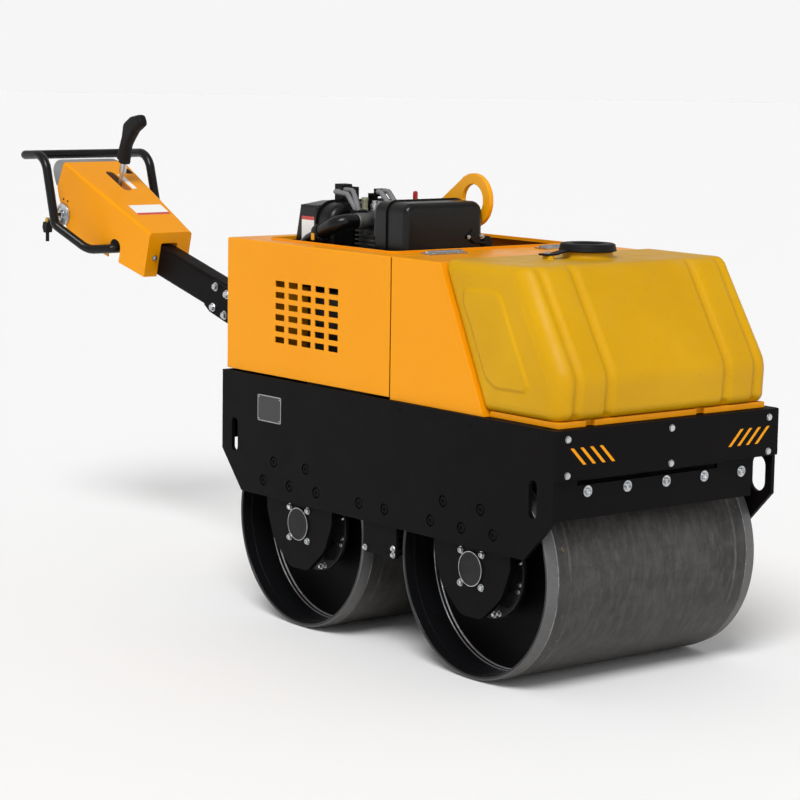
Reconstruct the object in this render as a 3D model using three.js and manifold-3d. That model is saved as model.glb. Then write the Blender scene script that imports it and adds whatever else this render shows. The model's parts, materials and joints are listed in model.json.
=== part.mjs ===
// Pedestrian double-drum vibratory roller, in millimetres.
// +X is forward, +Y is left, +Z is up. The origin is on the ground, midway between the drum axles.
import * as THREE from 'three';
import { mergeVertices } from 'three/addons/utils/BufferGeometryUtils.js';
import Module from 'manifold-3d';

const wasm = await Module();
wasm.setup();

// ---------------------------------------------------------------- driving dimensions
const SEAT = 0.3; // gap between two pieces that touch
const RUN = 6; // least gap between pieces that move past each other

// Drums
const DRUM_RADIUS = 240;
const DRUM_WIDTH = 600;
const DRUM_WALL = 11;
const DRUM_EDGE = 26; // width of the worn band along each rim
const DRUM_EDGE_DROP = 3; // how far that band tapers inwards
const AXLE_X = 306; // each axle's distance from the middle of the machine
const WEB_DEPTH = 94; // from the rim to the web inside the drum
const WEB_PLATE = 12;
const STUB_RADIUS = 30;
const STUB_LENGTH = 38;

// Chassis
const PLATE = 10; // side plates and cross plates
const SIDE_GAP = 10; // drum end to side plate
const CHASSIS_REAR = -592;
const CHASSIS_FRONT = 576;
const CHASSIS_LIFT = 50; // from the axles up to the side plates' lower edge
const CHASSIS_HEIGHT = 277;
const CROSS_HEIGHT = 187; // cross plates, down from the top of the chassis
const BED_DROP = 59; // from the top of the chassis to the top of the bed
const BED_PLATE = 8;

// Hood and cowl, of folded sheet
const SHEET = 3;
const HOOD_INSET = 8; // hood side inside the side plate's face
const HOOD_HEIGHT = 310; // above the chassis
const HOOD_REAR_INSET = 6; // hood back inside the rear cross plate
const SEAM_X = 30; // joint between the hinged hood and the fixed cowl
const SEAM_GAP = 5;
const COWL_TOP_X = 195; // front edge of the cowl, at the top and at the bottom
const COWL_FOOT_X = 345;
const OPENING_REAR = -489; // opening in the hood's deck for the engine
const OPENING_FRONT = -28;
const OPENING_HALF = 262;
const OPENING_RIM = 5;

// Water tank
const TANK_HALF_WIDTH = 305;
const TANK_FRONT = 577;
const TANK_LIFT = 13; // above the chassis
const TANK_HEIGHT = 304;

// Handle, in a frame that starts at its pivot and runs back along the arm
const PIVOT_BACK = 73; // behind the chassis
const PIVOT_LIFT = 18; // above the chassis
const ARM_SLOPE = 14.6; // degrees
const ARM_HEIGHT = 80;
const ARM_WIDTH = 50;
const ARM_WALL = 4;
const ARM_START = 300; // distance from the pivot to the lower end of the tube
const ARM_END = 1000;
const FISHPLATE = 8;
const BAR_RADIUS = 12;

// Worked out from these
const AXLE_Z = DRUM_RADIUS;
const DRUM_HALF = DRUM_WIDTH / 2;
const DRUM_INNER = DRUM_RADIUS - DRUM_WALL;
const SIDE_INNER = DRUM_HALF + SIDE_GAP;
const SIDE_OUTER = SIDE_INNER + PLATE;
const CHASSIS_BOTTOM = AXLE_Z + CHASSIS_LIFT;
const CHASSIS_TOP = CHASSIS_BOTTOM + CHASSIS_HEIGHT;
const BED_TOP = CHASSIS_TOP - BED_DROP;
const HOOD_TOP = CHASSIS_TOP + HOOD_HEIGHT;
const HOOD_REAR = CHASSIS_REAR + HOOD_REAR_INSET;
const HOOD_OUTER = SIDE_OUTER - HOOD_INSET;
const HOOD_INNER = HOOD_OUTER - SHEET;
const HOOD_BOTTOM = CHASSIS_TOP + 5;
const COWL_BOTTOM = CHASSIS_TOP + SEAT;
const TANK_BOTTOM = CHASSIS_TOP + TANK_LIFT;
const TANK_TOP = TANK_BOTTOM + TANK_HEIGHT;
const PIVOT_X = CHASSIS_REAR - PIVOT_BACK;
const PIVOT_Z = CHASSIS_TOP + PIVOT_LIFT;
const BETWEEN_SIDES = SIDE_INNER - SEAT;
const ROUND_STEPS = 28; // sides of a round piece
const CORNER_STEPS = 4; // steps in a rounded corner

// ---------------------------------------------------------------- materials
const paint = (color, roughness, metalness = 0) =>
  new THREE.MeshStandardMaterial({ color, roughness, metalness });
const FINISH = {
  blackFrame: () => paint(0x1e1c1d, 0.45),
  orangeSheet: () => paint(0xf5a21c, 0.35),
  yellowPlastic: () => paint(0xdcae18, 0.4),
  yellowPaint: () => paint(0xf2ab17, 0.35),
  rolledSteel: () => paint(0x5e5d5c, 0.55, 0.8),
  castSteel: () => paint(0x3a3a3b, 0.6, 0.5),
  blackGloss: () => paint(0x141414, 0.2),
  blackRubber: () => paint(0x151515, 0.8),
  zinc: () => paint(0xb9bdc0, 0.35, 0.9),
  alloy: () => paint(0x8c8c88, 0.5, 0.7),
  greyPlastic: () => paint(0x77787a, 0.6),
  redPlastic: () => paint(0xb3202a, 0.4),
};

// ---------------------------------------------------------------- shape helpers
const X = new THREE.Vector3(1, 0, 0);
const Y = new THREE.Vector3(0, 1, 0);
const Z = new THREE.Vector3(0, 0, 1);
const FACING = {
  x: new THREE.Matrix4().makeBasis(Y, Z, X),
  y: new THREE.Matrix4().makeBasis(X, Z, Y.clone().negate()),
  z: new THREE.Matrix4(),
};

// Points of a closed outline whose corners are given as [a, b, fillet radius].
function filleted(corners, steps = CORNER_STEPS) {
  const points = [];
  corners.forEach(([a, b, radius = 0], i) => {
    const corner = new THREE.Vector2(a, b);
    if (radius === 0) {
      points.push(corner);
      return;
    }
    const before = corners[(i + corners.length - 1) % corners.length];
    const after = corners[(i + 1) % corners.length];
    const back = new THREE.Vector2(before[0], before[1]).sub(corner).normalize();
    const ahead = new THREE.Vector2(after[0], after[1]).sub(corner).normalize();
    const half = Math.acos(THREE.MathUtils.clamp(back.dot(ahead), -1, 1)) / 2;
    const inwards = back.clone().add(ahead).normalize();
    const centre = corner.clone().addScaledVector(inwards, radius / Math.sin(half));
    const first = corner.clone().addScaledVector(back, radius / Math.tan(half)).sub(centre);
    const last = corner.clone().addScaledVector(ahead, radius / Math.tan(half)).sub(centre);
    const sweep = Math.atan2(first.cross(last), first.dot(last));
    for (let k = 0; k <= steps; k++) {
      points.push(first.clone().rotateAround(new THREE.Vector2(), (sweep * k) / steps).add(centre));
    }
  });
  return points;
}

// The same corners moved inwards by a distance, square to each side; outer fillets shrink with them.
function inset(corners, distance) {
  const turns = Math.sign(THREE.ShapeUtils.area(corners.map(([a, b]) => ({ x: a, y: b }))));
  return corners.map(([a, b, radius = 0], i) => {
    const corner = new THREE.Vector2(a, b);
    const before = corners[(i + corners.length - 1) % corners.length];
    const after = corners[(i + 1) % corners.length];
    const inward = new THREE.Vector2(a - before[0], b - before[1]).normalize();
    const onward = new THREE.Vector2(after[0] - a, after[1] - b).normalize();
    const square = new THREE.Vector2(-onward.y, onward.x).multiplyScalar(turns);
    const bisector = new THREE.Vector2(-inward.y, inward.x).multiplyScalar(turns).add(square).normalize();
    const reach = distance / bisector.dot(square);
    const outer = turns * inward.cross(onward) > 0;
    corner.addScaledVector(bisector, reach);
    return [corner.x, corner.y, outer ? Math.max(radius - distance, 0) : radius + distance];
  });
}

const shapeOf = (corners, steps) => new THREE.Shape(filleted(corners, steps));
const rectangle = (a0, a1, b0, b1, radius = 0) =>
  shapeOf([[a0, b0, radius], [a1, b0, radius], [a1, b1, radius], [a0, b1, radius]]);

function circle(a, b, radius, steps = ROUND_STEPS) {
  const points = [];
  for (let k = 0; k < steps; k++) {
    const turn = (2 * Math.PI * k) / steps;
    points.push(new THREE.Vector2(a + radius * Math.cos(turn), b + radius * Math.sin(turn)));
  }
  return new THREE.Shape(points);
}

// A flat outline made thick along an axis, from one coordinate to the other.
// The outline's plane is (y, z) along x, (x, z) along y and (x, y) along z.
function slab(shape, axis, from, to, holes = []) {
  const geometry = new THREE.ExtrudeGeometry(shape, { depth: to - from, bevelEnabled: false });
  geometry.applyMatrix4(FACING[axis]);
  geometry.translate(axis === 'x' ? from : 0, axis === 'y' ? to : 0, axis === 'z' ? from : 0);
  return cut(geometry, ...holes.map((hole) => slab(hole, axis, from - 1, to + 1)));
}

const block = (x0, x1, y0, y1, z0, z1, radius = 0) => slab(rectangle(x0, x1, y0, y1, radius), 'z', z0, z1);
const disc = (axis, a, b, radius, from, to, steps) => slab(circle(a, b, radius, steps), axis, from, to);

// A ring or solid of revolution about Y, from a profile of [radius, y] that runs anticlockwise.
function turned(profile, steps) {
  const points = [...profile, profile[0]].map(([radius, y]) => new THREE.Vector2(radius, y));
  return new THREE.LatheGeometry(points, steps);
}

const point = ([x, y, z]) => new THREE.Vector3(x, y, z);

// Straight runs and round bends through corners given as [x, y, z, bend radius].
class BentPath extends THREE.Curve {
  constructor(corners, steps = 4) {
    super();
    this.stations = [point(corners[0])];
    for (let i = 1; i < corners.length - 1; i++) {
      this.addBend(point(corners[i - 1]), point(corners[i]), point(corners[i + 1]), corners[i][3], steps);
    }
    this.stations.push(point(corners.at(-1)));
  }

  addBend(before, corner, after, radius, steps) {
    const back = before.sub(corner).normalize();
    const ahead = after.sub(corner).normalize();
    const half = back.angleTo(ahead) / 2;
    const inwards = back.clone().add(ahead).normalize();
    const centre = corner.clone().addScaledVector(inwards, radius / Math.sin(half));
    const first = corner.clone().addScaledVector(back, radius / Math.tan(half)).sub(centre);
    const last = corner.clone().addScaledVector(ahead, radius / Math.tan(half)).sub(centre);
    const sweep = first.angleTo(last);
    for (let k = 0; k <= steps; k++) {
      const [early, late] = [Math.sin((1 - k / steps) * sweep), Math.sin((k / steps) * sweep)];
      const arm = first.clone().multiplyScalar(early).addScaledVector(last, late);
      this.stations.push(arm.divideScalar(Math.sin(sweep)).add(centre));
    }
  }

  // Equal steps run from station to station, so that they lie close only in the bends.
  getUtoTmapping(u) {
    return u;
  }

  getPoint(t, target = new THREE.Vector3()) {
    const place = t * (this.stations.length - 1);
    const k = Math.min(Math.floor(place), this.stations.length - 2);
    return target.lerpVectors(this.stations[k], this.stations[k + 1], place - k);
  }
}

// A round bar or hose along a path, with one step for each of its stations.
function bar(path, radius, sides = 10) {
  const steps = path.stations.length - 1;
  return new THREE.ExtrudeGeometry(circle(0, 0, radius, sides), { steps, extrudePath: path });
}

function solid(geometry) {
  const bare = geometry.clone();
  bare.deleteAttribute('normal');
  bare.deleteAttribute('uv');
  const { attributes, index } = mergeVertices(bare);
  const vertProperties = new Float32Array(attributes.position.array);
  const triVerts = new Uint32Array(index.array);
  return new wasm.Manifold(new wasm.Mesh({ numProp: 3, vertProperties, triVerts }));
}

function surface(manifold) {
  const { vertProperties, triVerts } = manifold.getMesh();
  const geometry = new THREE.BufferGeometry();
  geometry.setAttribute('position', new THREE.BufferAttribute(vertProperties, 3));
  geometry.setIndex(new THREE.BufferAttribute(triVerts, 1));
  geometry.computeVertexNormals();
  return geometry;
}

const joined = (...pieces) => surface(pieces.map(solid).reduce((all, piece) => all.add(piece)));
const cut = (body, ...tools) =>
  surface(tools.map(solid).reduce((left, tool) => left.subtract(tool), solid(body)));
const common = (body, other) => surface(solid(body).intersect(solid(other)));
const mirrored = (geometry) => surface(solid(geometry).mirror([0, 1, 0]));

const roller = new THREE.Group();
function add(name, geometry, material, parent = roller) {
  const mesh = new THREE.Mesh(joined(geometry), material());
  mesh.name = name;
  parent.add(mesh);
  return mesh;
}

// The same piece on the right (-Y) and, mirrored, on the left (+Y).
function addPair(name, geometry, material, parent = roller) {
  add(`${name}_right`, geometry, material, parent);
  add(`${name}_left`, mirrored(geometry), material, parent);
}

// ---------------------------------------------------------------- drums
const DRUM_STEPS = 48;
const WEB_STEPS = 32;
const WEB_OUTER = DRUM_HALF - WEB_DEPTH;

function drumShell() {
  const rim = DRUM_RADIUS - DRUM_EDGE_DROP;
  return turned([
    [DRUM_INNER, -DRUM_HALF], [rim, -DRUM_HALF], [DRUM_RADIUS, DRUM_EDGE - DRUM_HALF],
    [DRUM_RADIUS, DRUM_HALF - DRUM_EDGE], [rim, DRUM_HALF], [DRUM_INNER, DRUM_HALF],
  ], DRUM_STEPS);
}

// Web plate with the stub axle that runs in the bearing carrier, on the right (-Y) side.
function drumWeb() {
  // The web's corners touch the middle of the shell's facets.
  const edge = DRUM_INNER * Math.cos(Math.PI / DRUM_STEPS) - SEAT;
  const hubRadius = STUB_RADIUS + 22;
  const hubLength = 6;
  return turned([
    [0, -WEB_OUTER - STUB_LENGTH], [STUB_RADIUS, -WEB_OUTER - STUB_LENGTH],
    [STUB_RADIUS, -WEB_OUTER - hubLength], [hubRadius, -WEB_OUTER - hubLength],
    [hubRadius, -WEB_OUTER], [edge, -WEB_OUTER], [edge, WEB_PLATE - WEB_OUTER], [0, WEB_PLATE - WEB_OUTER],
  ], WEB_STEPS);
}

// The exciter is a heavy sealed housing between the webs.
function exciter() {
  const half = WEB_OUTER - WEB_PLATE - SEAT;
  return turned([[0, -half], [95, -half], [95, half], [0, half]], 24);
}

for (const [end, side] of [['front', 1], ['rear', -1]]) {
  const drum = new THREE.Group();
  drum.position.set(side * AXLE_X, 0, AXLE_Z);
  roller.add(drum);
  add(`${end}_drum_shell`, drumShell(), FINISH.rolledSteel, drum);
  addPair(`${end}_drum_web`, drumWeb(), FINISH.castSteel, drum);
  add(`${end}_exciter`, exciter(), FINISH.castSteel, drum);
}

// ---------------------------------------------------------------- drum hangers and bearing carriers
const HANGER_PLATE = 12;
const HANGER_PAD = 5.7; // spacer between the hanger and the side plate
const HANGER_HALF = 124; // half width where the hanger leaves the side plate
const HANGER_CORNER = 30;
const HANGER_OUTER = SIDE_INNER - SEAT - HANGER_PAD;
const HANGER_INNER = HANGER_OUTER - HANGER_PLATE;
// The hanger's upper corners stay clear of the drum's wall.
const HANGER_TOP = Math.floor(Math.sqrt((DRUM_INNER - 30) ** 2 - (HANGER_HALF - HANGER_CORNER) ** 2));
const COVER_RADIUS = 37; // bearing cover that shows through the hanger
const CARRIER_RADIUS = 112;
const CARRIER_OUTER = WEB_OUTER + 50;
const CARRIER_INNER = WEB_OUTER + 12;
const CARRIER_STEPS = 20;
const CARRIER_BORE = (STUB_RADIUS + 0.4) / Math.cos(Math.PI / CARRIER_STEPS); // clears the stub at its flats
const BUFFER_RADIUS = 24;
const BUFFER_CIRCLE = 80;

function hanger() {
  const side = [[HANGER_HALF, 16, 40], [98, -48, 60], [34, -104, 40]]; // from the side plate down to the foot
  const head = [
    [HANGER_HALF, HANGER_TOP - HANGER_CORNER], [HANGER_HALF - HANGER_CORNER, HANGER_TOP],
    [HANGER_CORNER - HANGER_HALF, HANGER_TOP], [-HANGER_HALF, HANGER_TOP - HANGER_CORNER],
  ];
  const foot = side.map(([x, z, radius]) => [-x, z, radius]);
  const plate = slab(shapeOf([...foot, ...side.reverse(), ...head]), 'y', -HANGER_OUTER, -HANGER_INNER,
    [circle(0, 0, COVER_RADIUS + 2 * SEAT, 24)]);
  const pad = slab(shapeOf([[-HANGER_HALF, CHASSIS_LIFT], [HANGER_HALF, CHASSIS_LIFT], ...head]),
    'y', SEAT - SIDE_INNER, 1 - HANGER_OUTER);
  return joined(plate, pad);
}

// Bearing carrier: a flange on four rubber buffers, with the bearing cover on its nose.
function carrier() {
  const nose = HANGER_OUTER + 4;
  const ring = solid(turned([
    [0, -nose], [COVER_RADIUS, -nose], [COVER_RADIUS, -CARRIER_OUTER], [CARRIER_RADIUS, -CARRIER_OUTER],
    [CARRIER_RADIUS, 10 - CARRIER_OUTER], [62, 10 - CARRIER_OUTER], [62, -CARRIER_INNER],
    [CARRIER_BORE, -CARRIER_INNER], [CARRIER_BORE, -WEB_OUTER - STUB_LENGTH - 1],
    [0, -WEB_OUTER - STUB_LENGTH - 1],
  ], CARRIER_STEPS));
  let body = ring;
  for (let k = 0; k < 4; k++) {
    const turn = Math.PI / 4 + (k * Math.PI) / 2;
    const [a, b] = [BUFFER_CIRCLE * Math.cos(turn), BUFFER_CIRCLE * Math.sin(turn)];
    body = body.add(solid(disc('y', a, b, BUFFER_RADIUS, SEAT - HANGER_INNER, 1 - CARRIER_OUTER, 8)));
  }
  return surface(body);
}

for (const [end, side] of [['front', 1], ['rear', -1]]) {
  const axle = new THREE.Group();
  axle.position.set(side * AXLE_X, 0, AXLE_Z);
  roller.add(axle);
  addPair(`${end}_hanger`, hanger(), FINISH.blackFrame, axle);
  addPair(`${end}_bearing_carrier`, carrier(), FINISH.castSteel, axle);
}

// ---------------------------------------------------------------- chassis
const CHAMFER_FRONT = [[CHASSIS_FRONT, CHASSIS_BOTTOM + 90], [CHASSIS_FRONT - 87, CHASSIS_BOTTOM]];
const CHAMFER_REAR = [[CHASSIS_REAR + 79, CHASSIS_BOTTOM], [CHASSIS_REAR, CHASSIS_BOTTOM + 91]];
const TIE_SLOTS = [CHASSIS_REAR + 51, CHASSIS_FRONT - 63]; // x of the tie-down slots
const TIE_SLOT = { bottom: CHASSIS_BOTTOM + 90, top: CHASSIS_BOTTOM + 169, width: 24 };
const BOLT_SINK = { radius: 13, depth: 5 };
const BOLT_ROW = CHASSIS_LIFT + 36; // lower row of bolts, above the axle
const HANGER_BOLTS = [
  [-61.5, HANGER_TOP - 41], [61.5, HANGER_TOP - 41], [-102, BOLT_ROW], [0, BOLT_ROW], [102, BOLT_ROW],
];
const BOLTS_BACK = 17; // the bolts' middle lies behind the axle
const SCRAPER_BOLTS = [-63, 28];

function sidePlate() {
  const shape = shapeOf([
    [CHASSIS_REAR, CHASSIS_TOP], [...CHAMFER_REAR[1]], [...CHAMFER_REAR[0]],
    [...CHAMFER_FRONT[1]], [...CHAMFER_FRONT[0]], [CHASSIS_FRONT, CHASSIS_TOP],
  ]);
  const slots = TIE_SLOTS.map((x) => rectangle(
    x - TIE_SLOT.width / 2, x + TIE_SLOT.width / 2, TIE_SLOT.bottom, TIE_SLOT.top, TIE_SLOT.width / 2 - 0.5));
  const plate = slab(shape, 'y', -SIDE_OUTER, -SIDE_INNER, slots);
  const sinks = [];
  for (const axle of [-AXLE_X, AXLE_X]) {
    for (const [dx, dz] of HANGER_BOLTS) sinks.push([axle - BOLTS_BACK + dx, AXLE_Z + dz]);
  }
  for (const x of SCRAPER_BOLTS) sinks.push([x, AXLE_Z + BOLT_ROW]);
  const tools = sinks.map(([x, z]) =>
    disc('y', x, z, BOLT_SINK.radius, -SIDE_OUTER - 1, BOLT_SINK.depth - SIDE_OUTER, 10));
  return cut(plate, ...tools);
}
addPair('side_plate', sidePlate(), FINISH.blackFrame);

const NAME_PLATE = 6;
const NAME_PLATE_BOTTOM = CHASSIS_TOP - 102;
const STRIPE = { width: 7, lean: 36, bottom: CHASSIS_TOP - 73, top: CHASSIS_TOP - 37, pitch: 26.5, count: 4 };
const STRIPE_STARTS = [[-1, 195], [1, 205]]; // side, and the first stripe's distance from the middle

// Black face plate across the front, with slanted slots through which the paint behind shows.
function namePlate() {
  const plate = rectangle(-SIDE_OUTER, SIDE_OUTER, NAME_PLATE_BOTTOM, CHASSIS_TOP, 3);
  const slots = [];
  for (const [hand, start] of STRIPE_STARTS) {
    for (let k = 0; k < STRIPE.count; k++) {
      const y = start + k * STRIPE.pitch;
      const corners = [
        [y, STRIPE.top], [y + STRIPE.width, STRIPE.top],
        [y + STRIPE.width - STRIPE.lean, STRIPE.bottom], [y - STRIPE.lean, STRIPE.bottom],
      ].map(([a, b]) => [hand * a, b]);
      slots.push(shapeOf(corners));
    }
  }
  return slab(plate, 'x', CHASSIS_FRONT + SEAT, CHASSIS_FRONT + SEAT + NAME_PLATE, slots);
}
add('front_face_plate', namePlate(), FINISH.blackFrame);

const CROSS_FRONT = CHASSIS_FRONT - 6; // front face of the cross plate
const CROSS_BOTTOM = CHASSIS_TOP - CROSS_HEIGHT;
add('front_cross_plate', cut(
  block(CROSS_FRONT - PLATE, CROSS_FRONT, -BETWEEN_SIDES, BETWEEN_SIDES, CROSS_BOTTOM, CHASSIS_TOP),
  block(CROSS_FRONT - PLATE - 1, CROSS_FRONT + 1, -250, 150, CHASSIS_TOP - 117, CHASSIS_TOP - 108),
), FINISH.blackFrame);
add('rear_cross_plate', block(
  CHASSIS_REAR, CHASSIS_REAR + PLATE, -BETWEEN_SIDES, BETWEEN_SIDES, CROSS_BOTTOM, CHASSIS_TOP,
), FINISH.blackFrame);
add('engine_bed', block(
  CHASSIS_REAR + PLATE + SEAT, CROSS_FRONT - PLATE - SEAT, -BETWEEN_SIDES, BETWEEN_SIDES,
  BED_TOP - BED_PLATE, BED_TOP,
), FINISH.blackFrame);

// ---------------------------------------------------------------- scrapers between the drums
const SCRAPER_HALF = 59; // half width of the holder plate
const SCRAPER_FOOT = AXLE_Z - 21;
const SCRAPER_HEAD = AXLE_Z + BOLT_ROW + 46;
const SCRAPER_PLATE = 8;
const BLADE_Z = AXLE_Z - 8;

function scraperHolder() {
  const outer = SIDE_INNER - SEAT;
  return slab(shapeOf([
    [-SCRAPER_HALF, SCRAPER_FOOT, 6], [SCRAPER_HALF, SCRAPER_FOOT, 6],
    [SCRAPER_HALF, SCRAPER_HEAD], [-SCRAPER_HALF, SCRAPER_HEAD],
  ]), 'y', -outer, SCRAPER_PLATE - outer);
}
addPair('scraper_holder', scraperHolder(), FINISH.blackFrame);

// Angle bar whose free edge runs close to the drum.
function scraperBar() {
  const reach = AXLE_X - DRUM_RADIUS - RUN;
  const end = SIDE_INNER - SCRAPER_PLATE - 2 * SEAT;
  return slab(shapeOf([
    [20, BLADE_Z - 14], [26, BLADE_Z - 14], [26, BLADE_Z],
    [reach, BLADE_Z], [reach, BLADE_Z + 6], [20, BLADE_Z + 6],
  ]), 'y', -end, end);
}
add('front_scraper', scraperBar(), FINISH.blackFrame);
add('rear_scraper', scraperBar().rotateZ(Math.PI), FINISH.blackFrame);

// ---------------------------------------------------------------- hood and cowl
const VENT = {
  columns: 5, rows: 6, x: -394.5, z: CHASSIS_TOP + 82, width: 36, height: 14, pitchX: 50.4, pitchZ: 25.6,
};
const HOOD_FRONT = SEAM_X - SEAM_GAP / 2;
const COWL_REAR = SEAM_X + SEAM_GAP / 2;

// Side wall of the hood with its grid of louvre slots.
function hoodSide() {
  const holes = [];
  for (let column = 0; column < VENT.columns; column++) {
    for (let row = 0; row < VENT.rows; row++) {
      const x = VENT.x + column * VENT.pitchX;
      const z = VENT.z + row * VENT.pitchZ;
      holes.push(rectangle(x, x + VENT.width, z, z + VENT.height));
    }
  }
  const wall = rectangle(HOOD_REAR, HOOD_FRONT, HOOD_BOTTOM, HOOD_TOP);
  return slab(wall, 'y', -HOOD_OUTER, -HOOD_INNER, holes);
}

function hood() {
  const side = hoodSide();
  const deck = cut(
    block(HOOD_REAR, HOOD_FRONT, -HOOD_OUTER, HOOD_OUTER, HOOD_TOP - SHEET, HOOD_TOP),
    block(OPENING_REAR, OPENING_FRONT, -OPENING_HALF, OPENING_HALF, HOOD_TOP - 2 * SHEET, HOOD_TOP + 1, 20),
  );
  const rim = cut(
    block(OPENING_REAR - SHEET, OPENING_FRONT + SHEET, -OPENING_HALF - SHEET, OPENING_HALF + SHEET,
      HOOD_TOP - 1, HOOD_TOP + OPENING_RIM, 20 + SHEET),
    block(OPENING_REAR, OPENING_FRONT, -OPENING_HALF, OPENING_HALF,
      HOOD_TOP - 2, HOOD_TOP + OPENING_RIM + 1, 20),
  );
  const back = block(HOOD_REAR, HOOD_REAR + SHEET, -HOOD_OUTER, HOOD_OUTER, HOOD_BOTTOM, HOOD_TOP);
  return joined(side, mirrored(side), deck, rim, back);
}
add('engine_hood', hood(), FINISH.orangeSheet);

function cowl() {
  const outline = shapeOf([
    [COWL_REAR, COWL_BOTTOM], [COWL_FOOT_X, COWL_BOTTOM], [COWL_TOP_X, HOOD_TOP], [COWL_REAR, HOOD_TOP],
  ]);
  const side = slab(outline, 'y', -HOOD_OUTER, -HOOD_INNER);
  const deck = block(COWL_REAR, COWL_TOP_X, -HOOD_OUTER, HOOD_OUTER, HOOD_TOP - SHEET, HOOD_TOP);
  return joined(side, mirrored(side), deck);
}
add('front_cowl', cowl(), FINISH.orangeSheet);

// Butt hinges: a leaf and barrel on the cowl, a leaf on the hood.
const HINGE = { y0: -216, y1: -114, leaf: 20, thick: 3, pin: 4 };
const HINGE_Z = HOOD_TOP + SEAT + HINGE.pin;

function cowlLeaf() {
  const [under, over] = [HOOD_TOP + SEAT, HOOD_TOP + SEAT + HINGE.thick];
  const leaf = block(SEAM_X + 1, SEAM_X + HINGE.leaf, HINGE.y0, HINGE.y1, under, over);
  const barrel = disc('y', SEAM_X, HINGE_Z, HINGE.pin, HINGE.y0, HINGE.y1, 12);
  return joined(leaf, barrel);
}

function hoodLeaf() {
  return block(
    SEAM_X - HINGE.leaf, SEAM_X - HINGE.pin - 0.5, HINGE.y0, HINGE.y1,
    HOOD_TOP + SEAT, HOOD_TOP + SEAT + HINGE.thick);
}
addPair('cowl_hinge', cowlLeaf(), FINISH.zinc);
addPair('hood_hinge', hoodLeaf(), FINISH.zinc);

// ---------------------------------------------------------------- water tank
const TANK_GAP = 7; // along x, between the cowl's slanted edge and the tank
const TANK_KINK = TANK_BOTTOM + 91; // the tank is longest here
const TANK_BROW_X = 449;
const TANK_ROUND = 24;
const TANK_TAPER = 0.054; // how much narrower each side gets, per unit of height
const GROOVE = { floor: 18, flare: 0.8, depth: 5, places: [-257, -169, 169, 257] };
const PANEL_DEPTH = 4;

const cowlEdgeX = (z) =>
  THREE.MathUtils.mapLinear(z, COWL_BOTTOM, HOOD_TOP, COWL_FOOT_X, COWL_TOP_X);
const flankY = (z) => TANK_TAPER * (z - TANK_BOTTOM) - TANK_HALF_WIDTH;

// Side view, run on behind the cowl's edge and cut off there.
const TANK_BACK = cowlEdgeX(TANK_TOP) - 60;
const TANK_PROFILE = [
  [TANK_BACK, TANK_BOTTOM, 2], [TANK_FRONT - 7, TANK_BOTTOM, 24],
  [TANK_FRONT, TANK_KINK, 70], [TANK_BROW_X, TANK_TOP, 34], [TANK_BACK, TANK_TOP, 2],
];

// Rounded box: a thick outline with rounded flanks, narrowed towards the top.
function tankBody() {
  const core = new THREE.ExtrudeGeometry(shapeOf(inset(TANK_PROFILE, TANK_ROUND), 5), {
    depth: 2 * (TANK_HALF_WIDTH - TANK_ROUND),
    bevelSize: TANK_ROUND, bevelThickness: TANK_ROUND, bevelSegments: 4,
  });
  core.applyMatrix4(FACING.y).translate(0, TANK_HALF_WIDTH - TANK_ROUND, 0);
  const position = core.attributes.position;
  for (let i = 0; i < position.count; i++) {
    position.setY(i, (-position.getY(i) * flankY(position.getZ(i))) / TANK_HALF_WIDTH);
  }
  return core;
}

// Everything behind the tank's back face, which runs along the cowl's edge.
function behindTank() {
  const [low, high] = [TANK_BOTTOM - 20, TANK_TOP + 20];
  return slab(shapeOf([
    [COWL_REAR, low], [cowlEdgeX(low) + TANK_GAP, low], [cowlEdgeX(high) + TANK_GAP, high], [COWL_REAR, high],
  ]), 'y', -TANK_HALF_WIDTH - 20, TANK_HALF_WIDTH + 20);
}

// Groove down the front, with sides that flare outwards.
function groove(y) {
  const reach = 30;
  const widening = 1 + (2 * reach * GROOVE.flare) / GROOVE.floor;
  const floor = [
    [TANK_FRONT - 7, TANK_BOTTOM - 5], [TANK_FRONT, TANK_KINK],
    [TANK_BROW_X, TANK_TOP], [TANK_BROW_X - 40, TANK_TOP + 67],
  ].map(([x, z]) => [x - GROOVE.depth, z]);
  const mouth = floor.map(([x, z]) => [x + reach, z]).reverse();
  const cutter = slab(shapeOf([...floor, ...mouth]), 'y', y - GROOVE.floor / 2, y + GROOVE.floor / 2);
  const position = cutter.attributes.position;
  for (let i = 0; i < position.count; i++) {
    const outside = mouth.some(([x, z]) => Math.hypot(position.getX(i) - x, position.getZ(i) - z) < 0.01);
    if (outside) position.setY(i, y + (position.getY(i) - y) * widening);
  }
  return cutter;
}

// Shallow recess in the right flank, whose floor leans with the flank.
function flankPanel() {
  const cutter = slab(shapeOf([
    [264, TANK_TOP - 57, 12], [375, TANK_TOP - 56, 30], [477, TANK_KINK - 25, 12],
    [466, TANK_KINK - 39, 8], [375, TANK_KINK - 40, 20], [343, TANK_KINK - 20, 20],
    [293, TANK_KINK + 76, 30], [264, TANK_KINK + 127, 20],
  ]), 'y', -TANK_HALF_WIDTH - 20, -TANK_HALF_WIDTH);
  const position = cutter.attributes.position;
  for (let i = 0; i < position.count; i++) {
    if (position.getY(i) > -TANK_HALF_WIDTH - 1) position.setY(i, flankY(position.getZ(i)) + PANEL_DEPTH);
  }
  return cutter;
}

const FILLER = { x: 312, neck: 54, radius: 62, hollow: 35 };
const FILLER_BOSS = { y: -112, radius: 12, height: 8 };
const NECK_TOP = TANK_TOP + 14;

// Yellow parts of the filler: its neck, and the boss that holds the cap's strap.
function fillerNeck() {
  return [
    disc('z', FILLER.x, 0, FILLER.neck, TANK_TOP - 2, NECK_TOP),
    disc('z', FILLER.x, FILLER_BOSS.y, FILLER_BOSS.radius, TANK_TOP - 2, TANK_TOP + FILLER_BOSS.height, 16),
  ];
}

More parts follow.
